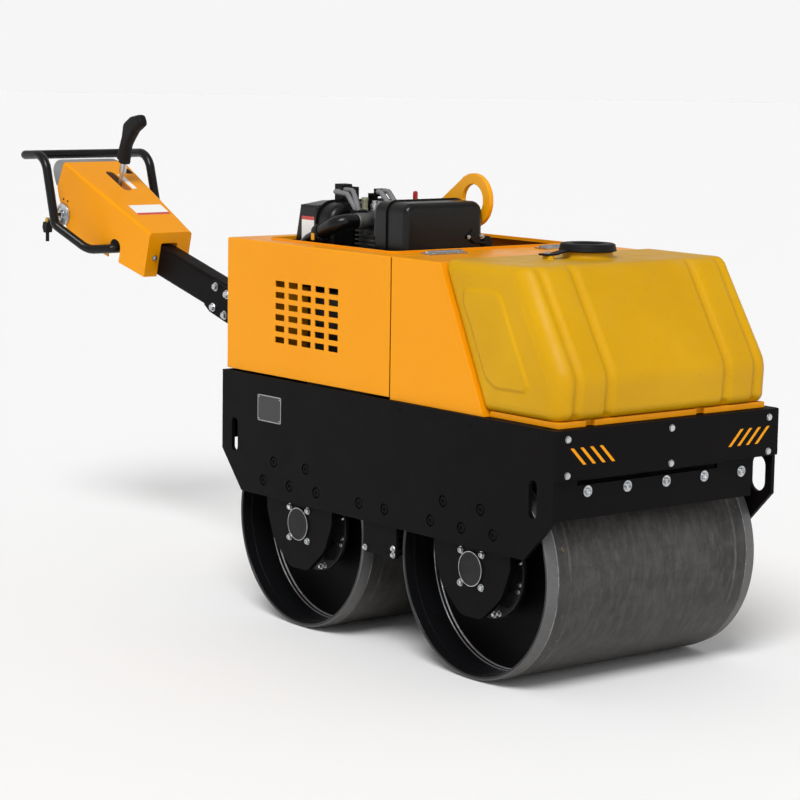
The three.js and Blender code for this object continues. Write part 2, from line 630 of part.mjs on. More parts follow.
function waterTank() {
  const panel = flankPanel();
  const body = cut(tankBody(), behindTank(), ...GROOVE.places.map(groove), panel, mirrored(panel));
  return joined(body, ...fillerNeck());
}
add('water_tank', waterTank(), FINISH.yellowPlastic);

// Dished rubber cap with a strap to the boss on one side and a finger tab on the other.
function fillerCap() {
  const low = NECK_TOP + SEAT;
  const high = low + 16;
  const cap = turned([
    [0, low], [FILLER.radius, low], [FILLER.radius - 3, high], [FILLER.hollow, high],
    [FILLER.hollow - 4, high - 5], [0, high - 5],
  ], ROUND_STEPS).rotateX(Math.PI / 2).translate(FILLER.x, 0, 0);
  const seat = TANK_TOP + FILLER_BOSS.height + SEAT;
  const far = FILLER_BOSS.y - FILLER_BOSS.radius - 6;
  const strap = slab(shapeOf([
    [far, seat], [FILLER_BOSS.y + 14, seat], [-FILLER.radius - 4, low], [-FILLER.neck, low],
    [-FILLER.neck, low + 4], [-FILLER.radius - 4, low + 4], [FILLER_BOSS.y + 14, seat + 4], [far, seat + 4],
  ]), 'x', FILLER.x - 11, FILLER.x + 11);
  const tab = block(FILLER.x - 9, FILLER.x + 9, FILLER.neck, FILLER.radius + 12, low + 1, low + 6);
  return joined(cap, strap, tab);
}
add('filler_cap', fillerCap(), FINISH.blackRubber);

const SHELF_TOP = TANK_BOTTOM - SEAT;
add('tank_shelf', block(
  COWL_FOOT_X + 4, CROSS_FRONT, -HOOD_INNER + 4, HOOD_INNER - 4, CHASSIS_TOP + SEAT, SHELF_TOP,
), FINISH.orangeSheet);

// ---------------------------------------------------------------- engine
// Heights run from the bed for what stands low and from the hood's deck for what shows above it.
const ENGINE_FLOOR = BED_TOP + SEAT;
const SUMP_TOP = HOOD_TOP - 117;
const BLOCK_TOP = HOOD_TOP + 38;
const HEAD_TOP = HOOD_TOP + 70;
const ENGINE_Y0 = -130; // right face of the block and the head
add('engine_block', joined(
  block(-475, -205, -170, 160, ENGINE_FLOOR, SUMP_TOP, 20),
  block(-330, -205, ENGINE_Y0, 60, SUMP_TOP - 60, BLOCK_TOP, 12),
), FINISH.alloy);

// Pressed shell in two halves that meet at a flange across x.
function pressedShell({ x0, seam, x1, y0, y1, z0, z1, corner, lip }) {
  const body = slab(rectangle(y0, y1, z0, z1, corner), 'x', x0, x1);
  return joined(body, seamFlange({ seam, y0, y1, z0, z1, corner, lip }));
}

const seamFlange = ({ seam, y0, y1, z0, z1, corner, lip }) =>
  slab(rectangle(y0 - lip, y1 + lip, z0 - lip, z1 + lip, corner + lip), 'x', seam - 1.5, seam + 1.5);

const FUEL = {
  x0: -132, seam: -91, x1: -36, y0: -219, y1: 2, z0: HOOD_TOP - 87, z1: HOOD_TOP + 107, corner: 26, lip: 4,
};
const FUEL_FOOT = FUEL.z0 - FUEL.lip - SEAT;
add('fuel_tank', pressedShell(FUEL), FINISH.blackGloss);
add('fuel_tank_bracket', joined(
  block(-205 + SEAT, -199, -200, -20, SUMP_TOP - 120, FUEL_FOOT),
  block(-205 + SEAT, -50, -200, -20, FUEL_FOOT - 6, FUEL_FOOT),
), FINISH.blackFrame);

// Fuel cock: a body on the tank's inner side with a round cap on its front.
const COCK = { x: FUEL.x1 - 9, y: FUEL.y1 + 15, z: HOOD_TOP + 14, radius: 14 };
add('fuel_cock', joined(
  block(FUEL.seam + 6, COCK.x, FUEL.y1 + SEAT, FUEL.y1 + 22, COCK.z - 13, COCK.z + 13, 3),
  disc('x', COCK.y, COCK.z, COCK.radius, COCK.x - 1, FUEL.x1, 16),
), FINISH.blackRubber);

// Muffler: a folded rear half that leans outwards, and a deep drawn front half.
const MUFFLER = {
  x0: -455, seam: -388, x1: -336, y0: -200, y1: 40, z0: SUMP_TOP + SEAT, z1: HOOD_TOP + 89,
  corner: 45, lip: 5,
};
function muffler() {
  const { x0, seam, x1, y0, y1, z0, z1, corner } = MUFFLER;
  const section = slab(shapeOf([
    [y0, z0 + 5, 5], [y1, z0 + 5, 5], [y1, z1, 5], [y0 + 60, z1, 10], [y0, z1 - 8, 5],
  ], 2), 'x', x0 - 40, seam + 1);
  const profile = slab(shapeOf([
    [x0 - 18, z0], [seam + 1, z0], [seam + 1, z1 + 10], [x0, z1 + 10], [x0, z1 - 8], [x0 - 18, z1 - 88],
  ]), 'y', y0 - 10, y1 + 10);
  const front = slab(rectangle(y0, y1, z0 + 5, z1, corner), 'x', seam, x1);
  return joined(common(section, profile), front, seamFlange({ ...MUFFLER, z0: z0 + 5 }));
}
add('muffler', muffler(), FINISH.blackGloss);

const RELAY = { x0: -429, x1: -398, y0: -120, y1: -90, z0: MUFFLER.z1 + SEAT, z1: HOOD_TOP + 128 };
add('relay_box', joined(
  block(RELAY.x0, RELAY.x1, RELAY.y0, RELAY.y1, RELAY.z0, RELAY.z1, 3),
  block(RELAY.x0, RELAY.x1, RELAY.y1 - 1, RELAY.y1 + 20, RELAY.z0, RELAY.z1 - 7, 3),
), FINISH.blackRubber);

// Cylinder head with the exhaust port, a filter and a breather on top.
const PORT = { x: -271, y: -178, z: HOOD_TOP + 52, radius: 19 };
function cylinderHead() {
  const head = block(MUFFLER.x1 + SEAT, -215, ENGINE_Y0, 60, BLOCK_TOP + SEAT, HEAD_TOP, 8);
  const port = joined(
    disc('y', PORT.x, PORT.z, PORT.radius, PORT.y, ENGINE_Y0 - SEAT, 16),
    disc('y', PORT.x, PORT.z, PORT.radius - 7, ENGINE_Y0 - 2, ENGINE_Y0 + 2, 16),
  );
  const filter = disc('z', -318, ENGINE_Y0 + 11, 10, HEAD_TOP - 1, HEAD_TOP + 31, 12);
  const breather = disc('z', -286, -110, 11, HEAD_TOP - 1, HEAD_TOP + 27, 12);
  return joined(head, port, filter, breather);
}
add('cylinder_head', cylinderHead(), FINISH.alloy);
add('stop_lever', slab(shapeOf([
  [-284, HEAD_TOP + SEAT], [-272, HEAD_TOP + SEAT], [-273, HEAD_TOP + 46, 4], [-282, HEAD_TOP + 46, 4],
]), 'y', -4, 4), FINISH.redPlastic);

// Angle bracket on the head, whose upturned end holds the conduits.
const BRACKET = { x0: -330, x1: -296, y0: -104, y1: -72, top: HEAD_TOP + 41 };
add('engine_bracket', joined(
  block(BRACKET.x0, BRACKET.x0 + 5, BRACKET.y0 + 6, BRACKET.y1, HEAD_TOP + SEAT, BRACKET.top),
  block(BRACKET.x0, BRACKET.x1, BRACKET.y0 + 6, BRACKET.y1, BRACKET.top - 6, BRACKET.top),
  block(BRACKET.x1 - 5, BRACKET.x1, BRACKET.y0, BRACKET.y1, BRACKET.top - 6, BRACKET.top + 12),
), FINISH.blackFrame);

// Corrugated conduits, each pair with the clip that holds it on the head.
const CONDUIT = 5.5;
const conduit = (corners) => bar(new BentPath(corners, 2), CONDUIT, 8);
add('rear_conduits', joined(
  conduit([
    [-408, RELAY.y0 - SEAT, HOOD_TOP + 111], [-408, -135, HOOD_TOP + 111, 8],
    [-354, -139, HOOD_TOP + 108, 20], [-310, -150, HOOD_TOP + 79, 14], [-308, -150, HEAD_TOP + 2],
  ]),
  conduit([
    [RELAY.x1 + SEAT, -113, HOOD_TOP + 115], [-368, -113, HOOD_TOP + 115, 30],
    [-310, -145, HOOD_TOP + 91, 20], [-295, -150, HEAD_TOP + 2],
  ]),
  block(-318, -288, -157, ENGINE_Y0 - SEAT, HEAD_TOP - 4, HEAD_TOP + 5, 2),
), FINISH.greyPlastic);
add('front_conduits', joined(
  conduit([
    [BRACKET.x1 + SEAT, -97, HOOD_TOP + 116], [-284, -97, HOOD_TOP + 116, 8], [-246, -102, HOOD_TOP + 92, 14],
    [-243, -102, HEAD_TOP + 3],
  ]),
  conduit([
    [BRACKET.x1 + SEAT, -80, HOOD_TOP + 117], [-276, -80, HOOD_TOP + 117, 14], [-226, -98, HOOD_TOP + 93, 12],
    [-223, -100, HEAD_TOP + 3],
  ]),
  conduit([
    [-250, -108, HEAD_TOP + 5], [-252, -121, HOOD_TOP + 96, 9], [-242, -139, HOOD_TOP + 80, 9],
    [-242, -139, HOOD_TOP + 48, 40], [-246, ENGINE_Y0 - 1 - CONDUIT, HOOD_TOP + 20],
  ]),
  block(-258, -216, -117, -92, HEAD_TOP + SEAT, HEAD_TOP + 8, 2),
), FINISH.greyPlastic);

// Duct from the port: a wide elbow and run, a clamp, and the narrower hose below it.
const DUCT_Y = -222;
add('exhaust_pipe', joined(
  bar(new BentPath([
    [PORT.x, PORT.y - SEAT, PORT.z], [PORT.x, DUCT_Y, PORT.z, 20], [-345, DUCT_Y, HOOD_TOP + 23],
  ], 3), 18, 12),
  bar(new BentPath([
    [-338, DUCT_Y, HOOD_TOP + 25.5], [-341, DUCT_Y, HOOD_TOP + 24.5, 1], [-354, DUCT_Y, HOOD_TOP + 20],
  ], 1), 21, 12),
  bar(new BentPath([
    [-345, DUCT_Y, HOOD_TOP + 23], [-405, DUCT_Y, HOOD_TOP - 1, 80], [-440, DUCT_Y, HOOD_TOP - 57],
  ], 3), 12.5, 12),
), FINISH.castSteel);

// Lifting eye: a ring on a leaning arm that stands on the bed.
const EYE = { x: -83, z: HOOD_TOP + 106, radius: 60.5, hole: 36, y0: 8, y1: 20, lean: 34.5 };
function liftingEye() {
  const lean = THREE.MathUtils.degToRad(EYE.lean);
  const touch = [EYE.x - EYE.radius * Math.sin(lean), EYE.z + EYE.radius * Math.cos(lean)];
  const shoulder = [touch[0] - 102 * Math.cos(lean), touch[1] - 102 * Math.sin(lean), 12];
  const arm = slab(shapeOf([
    touch, shoulder, [-190, HOOD_TOP + 30, 30], [-190, ENGINE_FLOOR], [-115, ENGINE_FLOOR],
    [-115, HOOD_TOP + 20, 30], [EYE.x, EYE.z - EYE.radius],
  ]), 'y', EYE.y0, EYE.y1);
  const ring = disc('y', EYE.x, EYE.z, EYE.radius, EYE.y0, EYE.y1, 36);
  const hole = disc('y', EYE.x, EYE.z, EYE.hole, EYE.y0 - 1, EYE.y1 + 1);
  return cut(joined(arm, ring), hole);
}
add('lifting_eye', liftingEye(), FINISH.yellowPaint);

// ---------------------------------------------------------------- handle
// The handle's own frame starts at its pivot and runs back along the arm.
const handle = new THREE.Group();
handle.position.set(PIVOT_X, 0, PIVOT_Z);
handle.rotation.y = THREE.MathUtils.degToRad(ARM_SLOPE);
roller.add(handle);

// Chassis side of the pivot: two lugs on a back plate, with a pad that the lowered handle rests on.
const FISHPLATE_FOOT = -ARM_HEIGHT / 2 - 7; // lower edge of the arm's fishplates
const LUG = { inner: ARM_WIDTH / 2 + FISHPLATE + 1, thick: 10, boss: 32 };
const PIN_RADIUS = 12;
const MOUNT = { back: CHASSIS_REAR - SEAT, top: CHASSIS_TOP - 15, foot: CHASSIS_TOP - 137 };

function handleMount() {
  const outline = shapeOf([
    [MOUNT.back, MOUNT.foot], [MOUNT.back, MOUNT.top], [PIVOT_X + 24, PIVOT_Z + LUG.boss, 24],
    [PIVOT_X - 26, PIVOT_Z + LUG.boss, 24], [PIVOT_X - 128, CHASSIS_TOP + 5],
    [PIVOT_X - 128, CHASSIS_TOP - 22], [PIVOT_X - 20, MOUNT.foot],
  ]);
  const hole = circle(PIVOT_X, PIVOT_Z, PIN_RADIUS + SEAT, 24);
  const lug = slab(outline, 'y', -LUG.inner - LUG.thick, -LUG.inner, [hole]);
  const web = block(PIVOT_X - 20, MOUNT.back, -LUG.inner - 1, LUG.inner + 1, MOUNT.foot, MOUNT.foot + 10);
  const back = block(MOUNT.back - 10, MOUNT.back, -90, 90, MOUNT.foot - 10, MOUNT.top - 7);
  const rest = FISHPLATE_FOOT - SEAT;
  const stop = block(-125, -75, -LUG.inner - 1, LUG.inner + 1, rest - 10, rest);
  handle.updateMatrix();
  stop.applyMatrix4(handle.matrix);
  return joined(lug, mirrored(lug), web, back, stop);
}
add('handle_mount', handleMount(), FINISH.blackFrame);
add('handle_pin', disc(
  'y', PIVOT_X, PIVOT_Z, PIN_RADIUS, -LUG.inner - LUG.thick - 8, LUG.inner + LUG.thick + 8, 24,
), FINISH.zinc);

function armTube() {
  const [w, h] = [ARM_WIDTH / 2, ARM_HEIGHT / 2];
  return slab(rectangle(-w, w, -h, h, 8), 'x', -ARM_END, -ARM_START,
    [rectangle(ARM_WALL - w, w - ARM_WALL, ARM_WALL - h, h - ARM_WALL, 8 - ARM_WALL)]);
}
add('arm_tube', armTube(), FINISH.blackFrame, handle);

// Fishplates that carry the tube and turn on the pin.
function fishplate() {
  const h = ARM_HEIGHT / 2;
  const y = -ARM_WIDTH / 2 - SEAT;
  return slab(shapeOf([
    [30, -30, 28], [30, 30, 28], [-60, h - 1.5, 20], [-413, h - 1.5, 6], [-434, 5 - h, 6], [-405, -h - 5, 8],
    [-340, FISHPLATE_FOOT, 20], [-70, FISHPLATE_FOOT, 20],
  ]), 'y', y - FISHPLATE, y, [circle(0, 0, PIN_RADIUS + SEAT, 24)]);
}
addPair('arm_fishplate', fishplate(), FINISH.blackFrame, handle);

const CONSOLE = {
  front: -671, rear: -1079, halfFront: 65.8, halfRear: 97.7, topFront: 78, topRear: 144.8, low: -43, round: 9,
};
const consoleShare = (x) => (CONSOLE.front - x) / (CONSOLE.front - CONSOLE.rear);
const consoleHalf = (x) => CONSOLE.halfFront + (CONSOLE.halfRear - CONSOLE.halfFront) * consoleShare(x);
const consoleTop = (x) => CONSOLE.topFront + (CONSOLE.topRear - CONSOLE.topFront) * consoleShare(x);
const CONSOLE_BACK = [
  [CONSOLE.rear, CONSOLE.topRear], [CONSOLE.rear - 13, 70], [CONSOLE.rear - 2, 49], [-1017, -37],
];

// Wedge with rounded upper edges that widens and rises towards the operator.
function consoleWedge(thick) {
  const [half, top] = [CONSOLE.halfFront - thick, CONSOLE.topFront - thick];
  const round = CONSOLE.round - thick;
  const low = CONSOLE.low - 20;
  const section = shapeOf([[-half, low], [half, low], [half, top, round], [-half, top, round]]);
  const wedge = slab(section, 'x', CONSOLE.rear - 40, CONSOLE.front - thick);
  const position = wedge.attributes.position;
  for (let i = 0; i < position.count; i++) {
    const [x, y, z] = [position.getX(i), position.getY(i), position.getZ(i)];
    position.setY(i, y + Math.sign(y) * (consoleHalf(x) - CONSOLE.halfFront));
    if (z > low) position.setZ(i, z + consoleTop(x) - CONSOLE.topFront);
  }
  return wedge;
}

// The console is a folded cover, open below and behind.
const SLOT = { x0: -1022, x1: -909, y: 11, width: 26 };
const NOTCH = { x: -808, half: 23, top: 15, round: 20 }; // where the handlebar's ends pass
function consoleCover() {
  const [deep, high] = [CONSOLE.low, CONSOLE.topRear + 30];
  const [corner, ...below] = CONSOLE_BACK;
  const sideView = slab(shapeOf([
    [CONSOLE.front, deep], [CONSOLE.front, CONSOLE.topFront, 8], [CONSOLE.front - 20, high],
    [corner[0] + 5, high], corner, ...below,
  ]), 'y', -CONSOLE.halfRear - 10, CONSOLE.halfRear + 10);
  const shell = cut(consoleWedge(0), consoleWedge(SHEET));
  const armCut = slab(rectangle(
    -ARM_WIDTH / 2 - SEAT, ARM_WIDTH / 2 + SEAT, deep - 40, ARM_HEIGHT / 2 + 8, 3,
  ), 'x', CONSOLE.front - 20, CONSOLE.front + 10);
  const slot = block(SLOT.x0, SLOT.x1, SLOT.y - SLOT.width / 2, SLOT.y + SLOT.width / 2, 60, 160, 12);
  const notch = slab(rectangle(
    NOTCH.x - NOTCH.half, NOTCH.x + NOTCH.half, deep - 40, NOTCH.top, NOTCH.round,
  ), 'y', -120, 120);
  return cut(common(shell, sideView), armCut, slot, notch);
}
add('console_cover', consoleCover(), FINISH.orangeSheet, handle);

// Bulging panel that closes the console's back, with a lip that reaches inside it.
function consoleBackPanel() {
  const [corner, wide] = CONSOLE_BACK;
  const bulge = new THREE.ExtrudeGeometry(shapeOf(inset([
    [corner[0] - SEAT - 0.1, corner[1]], [wide[0] - SEAT - 0.1, wide[1]], [wide[0] - 26, wide[1] - 6, 14],
    [wide[0] - 58, wide[1] + 34, 28], [corner[0] - 56, corner[1] - 6, 36],
  ], 6), 3), { depth: 164, bevelSize: 6, bevelThickness: 6, bevelSegments: 2 });
  bulge.applyMatrix4(FACING.y).translate(0, 82, 0);
  const lip = slab(shapeOf([
    [corner[0] + 3, corner[1]], [corner[0] - 6, corner[1]],
    [wide[0] - 5, wide[1] + 1], [wide[0] + 4, wide[1] + 1],
  ]), 'y', -CONSOLE.halfRear, CONSOLE.halfRear);
  return joined(bulge, common(lip, consoleWedge(SHEET + 2 * SEAT)));
}
add('console_back_panel', consoleBackPanel(), FINISH.greyPlastic, handle);

// Throttle: a dial on the console's right side and a bent lever on the dial's hub.
const DIAL = { x: -1047, z: 8, radius: 30, hub: 11, thick: 6, rise: 14 };
const CONSOLE_LEAN = Math.atan((CONSOLE.halfRear - CONSOLE.halfFront) / (CONSOLE.front - CONSOLE.rear));
const DIAL_Y = -consoleHalf(DIAL.x) - SEAT;
function throttleDial() {
  const { radius, hub, thick, rise } = DIAL;
  return turned([
    [0, -rise], [hub, -rise], [hub, 3 - thick], [radius - 6, 3 - thick], [radius - 6, -thick],
    [radius, -thick], [radius, 0], [0, 0],
  ], 20).rotateZ(CONSOLE_LEAN).translate(DIAL.x, DIAL_Y, DIAL.z);
}
add('throttle_dial', throttleDial(), FINISH.zinc, handle);

const KNOB = { x: -1074, y: -124, z: -36, half: 10, rise: 13 };
add('throttle_lever', joined(
  bar(new BentPath([
    [DIAL.x, DIAL_Y - DIAL.rise - 2 * SEAT, DIAL.z], [DIAL.x, KNOB.y, DIAL.z, 5], [KNOB.x, KNOB.y, KNOB.z + 4],
  ]), 4.5, 8),
  slab(shapeOf([
    [KNOB.x - KNOB.half, KNOB.z + KNOB.rise, 3], [KNOB.x - KNOB.half, KNOB.z - 4, 3],
    [KNOB.x, KNOB.z - KNOB.rise - 3, 3], [KNOB.x + KNOB.half, KNOB.z - KNOB.rise, 3],
    [KNOB.x + KNOB.half, KNOB.z + KNOB.rise, 3],
  ], 2), 'y', KNOB.y - 8, KNOB.y + 8),
  bar(new BentPath([
    [KNOB.x - 5, KNOB.y, KNOB.z + 24], [KNOB.x, KNOB.y, KNOB.z, 1], [KNOB.x + 9, KNOB.y, KNOB.z - 38],
  ], 1), 5.5, 8),
), FINISH.blackRubber, handle);

// Handlebar: one bent tube whose two ends meet the arm inside the console.
function handlebar() {
  const half = [
    [NOTCH.x, ARM_WIDTH / 2 + SEAT, -10], [NOTCH.x, 83, -10, 18], [-880, 112, -36, 60], [-972.5, 165, 4.5, 25],
    [-1071.5, 164, 170, 55], [-1188, 164, 133, 28],
  ];
  const right = half.map(([x, y, z, bend]) => [x, -y, z, bend]).reverse();
  return bar(new BentPath([...half, ...right], 3), BAR_RADIUS, 10);
}
add('handlebar', handlebar(), FINISH.blackFrame, handle);

// Travel lever: a leaning rod on the arm with a shaped grip on a collar.
const ROD = { x: -971.3, y: 15, radius: 6, topX: -957, top: 178 };
const GRIP = { y0: 1, y1: 29, round: 8 };
add('travel_lever', bar(new BentPath([
  [ROD.x, ROD.y, ARM_HEIGHT / 2 + 1], [-964, ROD.y, 110, 400], [ROD.topX, ROD.y, ROD.top],
], 1), ROD.radius, 12), FINISH.zinc, handle);

function leverGrip() {
  const low = ROD.top + SEAT + 0.7;
  const body = new THREE.ExtrudeGeometry(shapeOf(inset([
    [-985, low + 2, 10], [-943, low + 2, 10], [-944, 228, 30], [-932, 252, 20], [-918, 276, 10],
    [-886, 306, 12], [-908, 328, 10], [-946, 311, 14], [-974, 284, 20], [-972, 250, 20], [-978, 214, 30],
  ], GRIP.round), 2), {
    depth: GRIP.y1 - GRIP.y0 - 2 * GRIP.round,
    bevelSize: GRIP.round, bevelThickness: GRIP.round, bevelSegments: 2,
  });
  body.applyMatrix4(FACING.y).translate(0, GRIP.y1 - GRIP.round, 0);
  const collar = disc('z', ROD.topX, ROD.y, 16, low, low + 8, 20);
  return joined(body, collar);
}
add('lever_grip', leverGrip(), FINISH.blackRubber, handle);

export default roller;
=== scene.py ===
"""A walk-behind vibratory roller: finishes, fittings and a plain studio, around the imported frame."""
import json
import math

import bmesh
import bpy
from mathutils import Matrix, Vector

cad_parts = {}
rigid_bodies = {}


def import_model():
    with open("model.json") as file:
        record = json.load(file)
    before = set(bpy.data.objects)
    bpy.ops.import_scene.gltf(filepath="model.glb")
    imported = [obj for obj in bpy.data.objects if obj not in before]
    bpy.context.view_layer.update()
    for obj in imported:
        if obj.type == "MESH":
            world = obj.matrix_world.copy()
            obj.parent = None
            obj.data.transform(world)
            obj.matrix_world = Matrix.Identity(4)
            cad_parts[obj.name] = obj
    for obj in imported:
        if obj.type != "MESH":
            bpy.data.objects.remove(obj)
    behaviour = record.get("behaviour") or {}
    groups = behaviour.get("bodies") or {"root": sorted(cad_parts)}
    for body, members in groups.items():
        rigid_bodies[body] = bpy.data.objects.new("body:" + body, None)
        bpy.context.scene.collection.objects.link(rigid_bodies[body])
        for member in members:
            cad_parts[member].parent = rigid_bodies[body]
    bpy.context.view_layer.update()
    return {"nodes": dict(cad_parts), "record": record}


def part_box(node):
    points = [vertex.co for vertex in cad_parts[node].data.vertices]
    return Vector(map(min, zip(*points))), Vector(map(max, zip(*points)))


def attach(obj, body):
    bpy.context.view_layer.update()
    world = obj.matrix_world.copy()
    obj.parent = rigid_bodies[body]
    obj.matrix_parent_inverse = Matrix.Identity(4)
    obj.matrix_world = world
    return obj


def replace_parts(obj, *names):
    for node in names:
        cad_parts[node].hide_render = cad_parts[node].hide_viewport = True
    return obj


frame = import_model()
MM = 0.001
AXLE, DRUM_RADIUS = 306, 240
PLATE_FACE = 320  # of the side plates, from the middle plane
COWL_FOOT = 567.3
SIDES = (("right", -1), ("left", 1))
RIGHT, AHEAD, BACK, UP = (0, -1, 0), (1, 0, 0), (-1, 0, 0), (0, 0, 1)


# ---------------------------------------------------------------- shader helpers

class Finish:
    """One material under construction: short calls add nodes and return the socket with the result."""

    def __init__(self, name, **shader):
        self.material = bpy.data.materials.new(name)
        self.material.use_nodes = True
        self.nodes = self.material.node_tree.nodes
        self.links = self.material.node_tree.links
        self.shader = self.nodes["Principled BSDF"]
        for socket, value in shader.items():
            self.shader.inputs[socket.replace("_", " ")].default_value = value
        self.place = self.nodes.new("ShaderNodeTexCoord").outputs["Object"]

    def add(self, kind, inputs=(), **settings):
        """A node of this kind, with its settings, and its inputs given by name or number."""
        made = self.nodes.new("ShaderNode" + kind)
        for name, value in settings.items():
            setattr(made, name, value)
        for socket, value in dict(inputs).items():
            if isinstance(value, bpy.types.NodeSocket):
                self.links.new(value, made.inputs[socket])
            else:
                made.inputs[socket].default_value = value
        return made

    def stretched(self, x=1.0, y=1.0, z=1.0):
        """The place on the piece, squeezed along each axis, for brushed and streaked marks."""
        return self.add("Mapping", {"Vector": self.place, "Scale": (x, y, z)}).outputs["Vector"]

    def noise(self, scale, detail=3.0, rough=0.5, twist=0.0, place=None):
        inputs = {"Vector": place or self.place, "Scale": scale, "Detail": detail,
                  "Roughness": rough, "Distortion": twist}
        return self.add("TexNoise", inputs).outputs["Fac"]

    def cells(self, scale):
        return self.add("TexVoronoi", {"Vector": self.place, "Scale": scale}).outputs["Distance"]

    def between(self, value, low, high):
        """0 below low, 1 above high, and a straight slope between them."""
        inputs = {"Value": value, "From Min": low, "From Max": high}
        return self.add("MapRange", inputs, clamp=True).outputs["Result"]

    def patches(self, low, high, *noise):
        """1 where the noise is above high, 0 where it is below low."""
        return self.between(self.noise(*noise), low, high)

    def maths(self, operation, first, second=0.0):
        return self.add("Math", {0: first, 1: second}, operation=operation).outputs[0]

    def times(self, first, second):
        return self.maths("MULTIPLY", first, second)

    def plus(self, first, second):
        return self.maths("ADD", first, second)

    def minus(self, first, second):
        return self.maths("SUBTRACT", first, second)

    def off(self, value, middle):
        """How far the value is from the middle, either way."""
        return self.maths("ABSOLUTE", self.minus(value, middle))

    def stripe(self, value, middle, near, far):
        """1 within near of the middle, 0 past far."""
        return self.minus(1.0, self.between(self.off(value, middle), near, far))

    def mixed(self, share, first, second):
        """first where share is 0, second where it is 1; both are colours or colour sockets."""
        return self.add("Mix", {0: share, 6: first, 7: second}, data_type="RGBA").outputs[2]

    def edges(self, radius):
        """1 on outer and inner edges within radius, 0 on flat faces."""
        flat = self.add("NewGeometry").outputs["Normal"]
        round_normal = self.add("Bevel", {"Radius": radius}, samples=4).outputs["Normal"]
        dot = self.add("VectorMath", {0: flat, 1: round_normal}, operation="DOT_PRODUCT").outputs["Value"]
        return self.between(self.minus(1.0, dot), 0.03, 0.25)

    def upward(self):
        """How much the surface faces up, from 0 to 1, where dust settles."""
        normal = self.add("NewGeometry").outputs["Normal"]
        height = self.add("SeparateXYZ", {0: normal}).outputs["Z"]
        return self.between(height, 0.2, 1.0)

    def bump(self, height, depth, strength=1.0):
        inputs = {"Height": height, "Distance": depth, "Strength": strength}
        normal = self.add("Bump", inputs).outputs["Normal"]
        self.links.new(normal, self.shader.inputs["Normal"])

    def set(self, socket, value):
        self.links.new(value, self.shader.inputs[socket])


def rgb(red, green, blue):
    """A colour given in screen values from 0 to 255, as the shader's linear colour."""
    def linear(value):
        value = value / 255
        return value / 12.92 if value <= 0.04045 else ((value + 0.055) / 1.055) ** 2.4
    return (linear(red), linear(green), linear(blue), 1.0)


# ---------------------------------------------------------------- finishes

DUST = rgb(176, 160, 132)
BRIGHT = rgb(200, 202, 204)
FINE_GRAIN = 0.00003


def paint(name, colour, shade, worn, roughness, dust=0.2, coat=0.3, gloss=0.5):
    """Sprayed paint: orange peel, slow drift of colour, edges rubbed paler, dust where it faces up."""
    f = Finish(name, Coat_Weight=coat, Coat_Roughness=0.15, Specular_IOR_Level=gloss)
    drift = f.patches(0.35, 0.7, 2.3, 2.0)
    body = f.mixed(f.times(drift, 0.6), colour, shade)
    rubbed = f.times(f.edges(0.0016), f.patches(0.4, 0.75, 38, 4.0))
    body = f.mixed(f.times(rubbed, 0.5), body, worn)
    settled = f.times(f.upward(), f.patches(0.42, 0.8, 9, 5.0, 0.65))
    f.set("Base Color", f.mixed(f.times(settled, dust), body, DUST))
    smear = f.patches(0.3, 0.7, 17, 4.0, 0.6, 0.6)
    f.set("Roughness", f.plus(f.times(smear, 0.12), f.plus(f.times(settled, 0.15), roughness - 0.06)))
    f.bump(f.noise(420, 1.0), FINE_GRAIN)
    return f.material


def moulded(name, colour, shade, roughness, grain=900, depth=FINE_GRAIN, specular=0.5):
    """Moulded plastic or rubber with a fine grain and faint flow marks."""
    f = Finish(name, Specular_IOR_Level=specular)
    flow = f.patches(0.3, 0.7, 6, 3.0, 0.6, 0.8)
    scuffs = f.times(f.edges(0.0012), f.patches(0.45, 0.7, 60, 3.0))
    body = f.mixed(flow, colour, shade)
    f.set("Base Color", f.mixed(f.times(scuffs, 0.35), body, DUST))
    f.set("Roughness", f.plus(f.times(flow, 0.1), roughness))
    f.bump(f.noise(grain, 2.0), depth)
    return f.material


def tank_skin():
    """Rotomoulded polyethylene: waxy, a little wavy, with a fine pebble and dust where it faces up."""
    f = Finish("tank_yellow", Specular_IOR_Level=0.16, Subsurface_Weight=0.03, Coat_Weight=0.04,
               Coat_Roughness=0.35, Subsurface_Radius=(0.02, 0.012, 0.003))
    cloud = f.patches(0.35, 0.68, 3.1, 3.0, 0.6)
    body = f.mixed(cloud, rgb(205, 155, 0), rgb(194, 144, 0))
    specks = f.times(f.patches(0.66, 0.74, 150, 3.0), 0.3)
    body = f.mixed(specks, body, rgb(150, 116, 20))
    settled = f.times(f.upward(), f.patches(0.48, 0.8, 14, 5.0, 0.7))
    f.set("Base Color", f.mixed(f.times(settled, 0.1), body, DUST))
    f.set("Roughness", f.plus(f.times(f.patches(0.3, 0.7, 22, 3.0), 0.14), 0.4))
    waves = f.plus(f.times(f.noise(5, 1.0), 1.0), f.times(f.noise(330, 2.0), 0.03))
    f.bump(waves, 0.0016, 0.5)
    return f.material


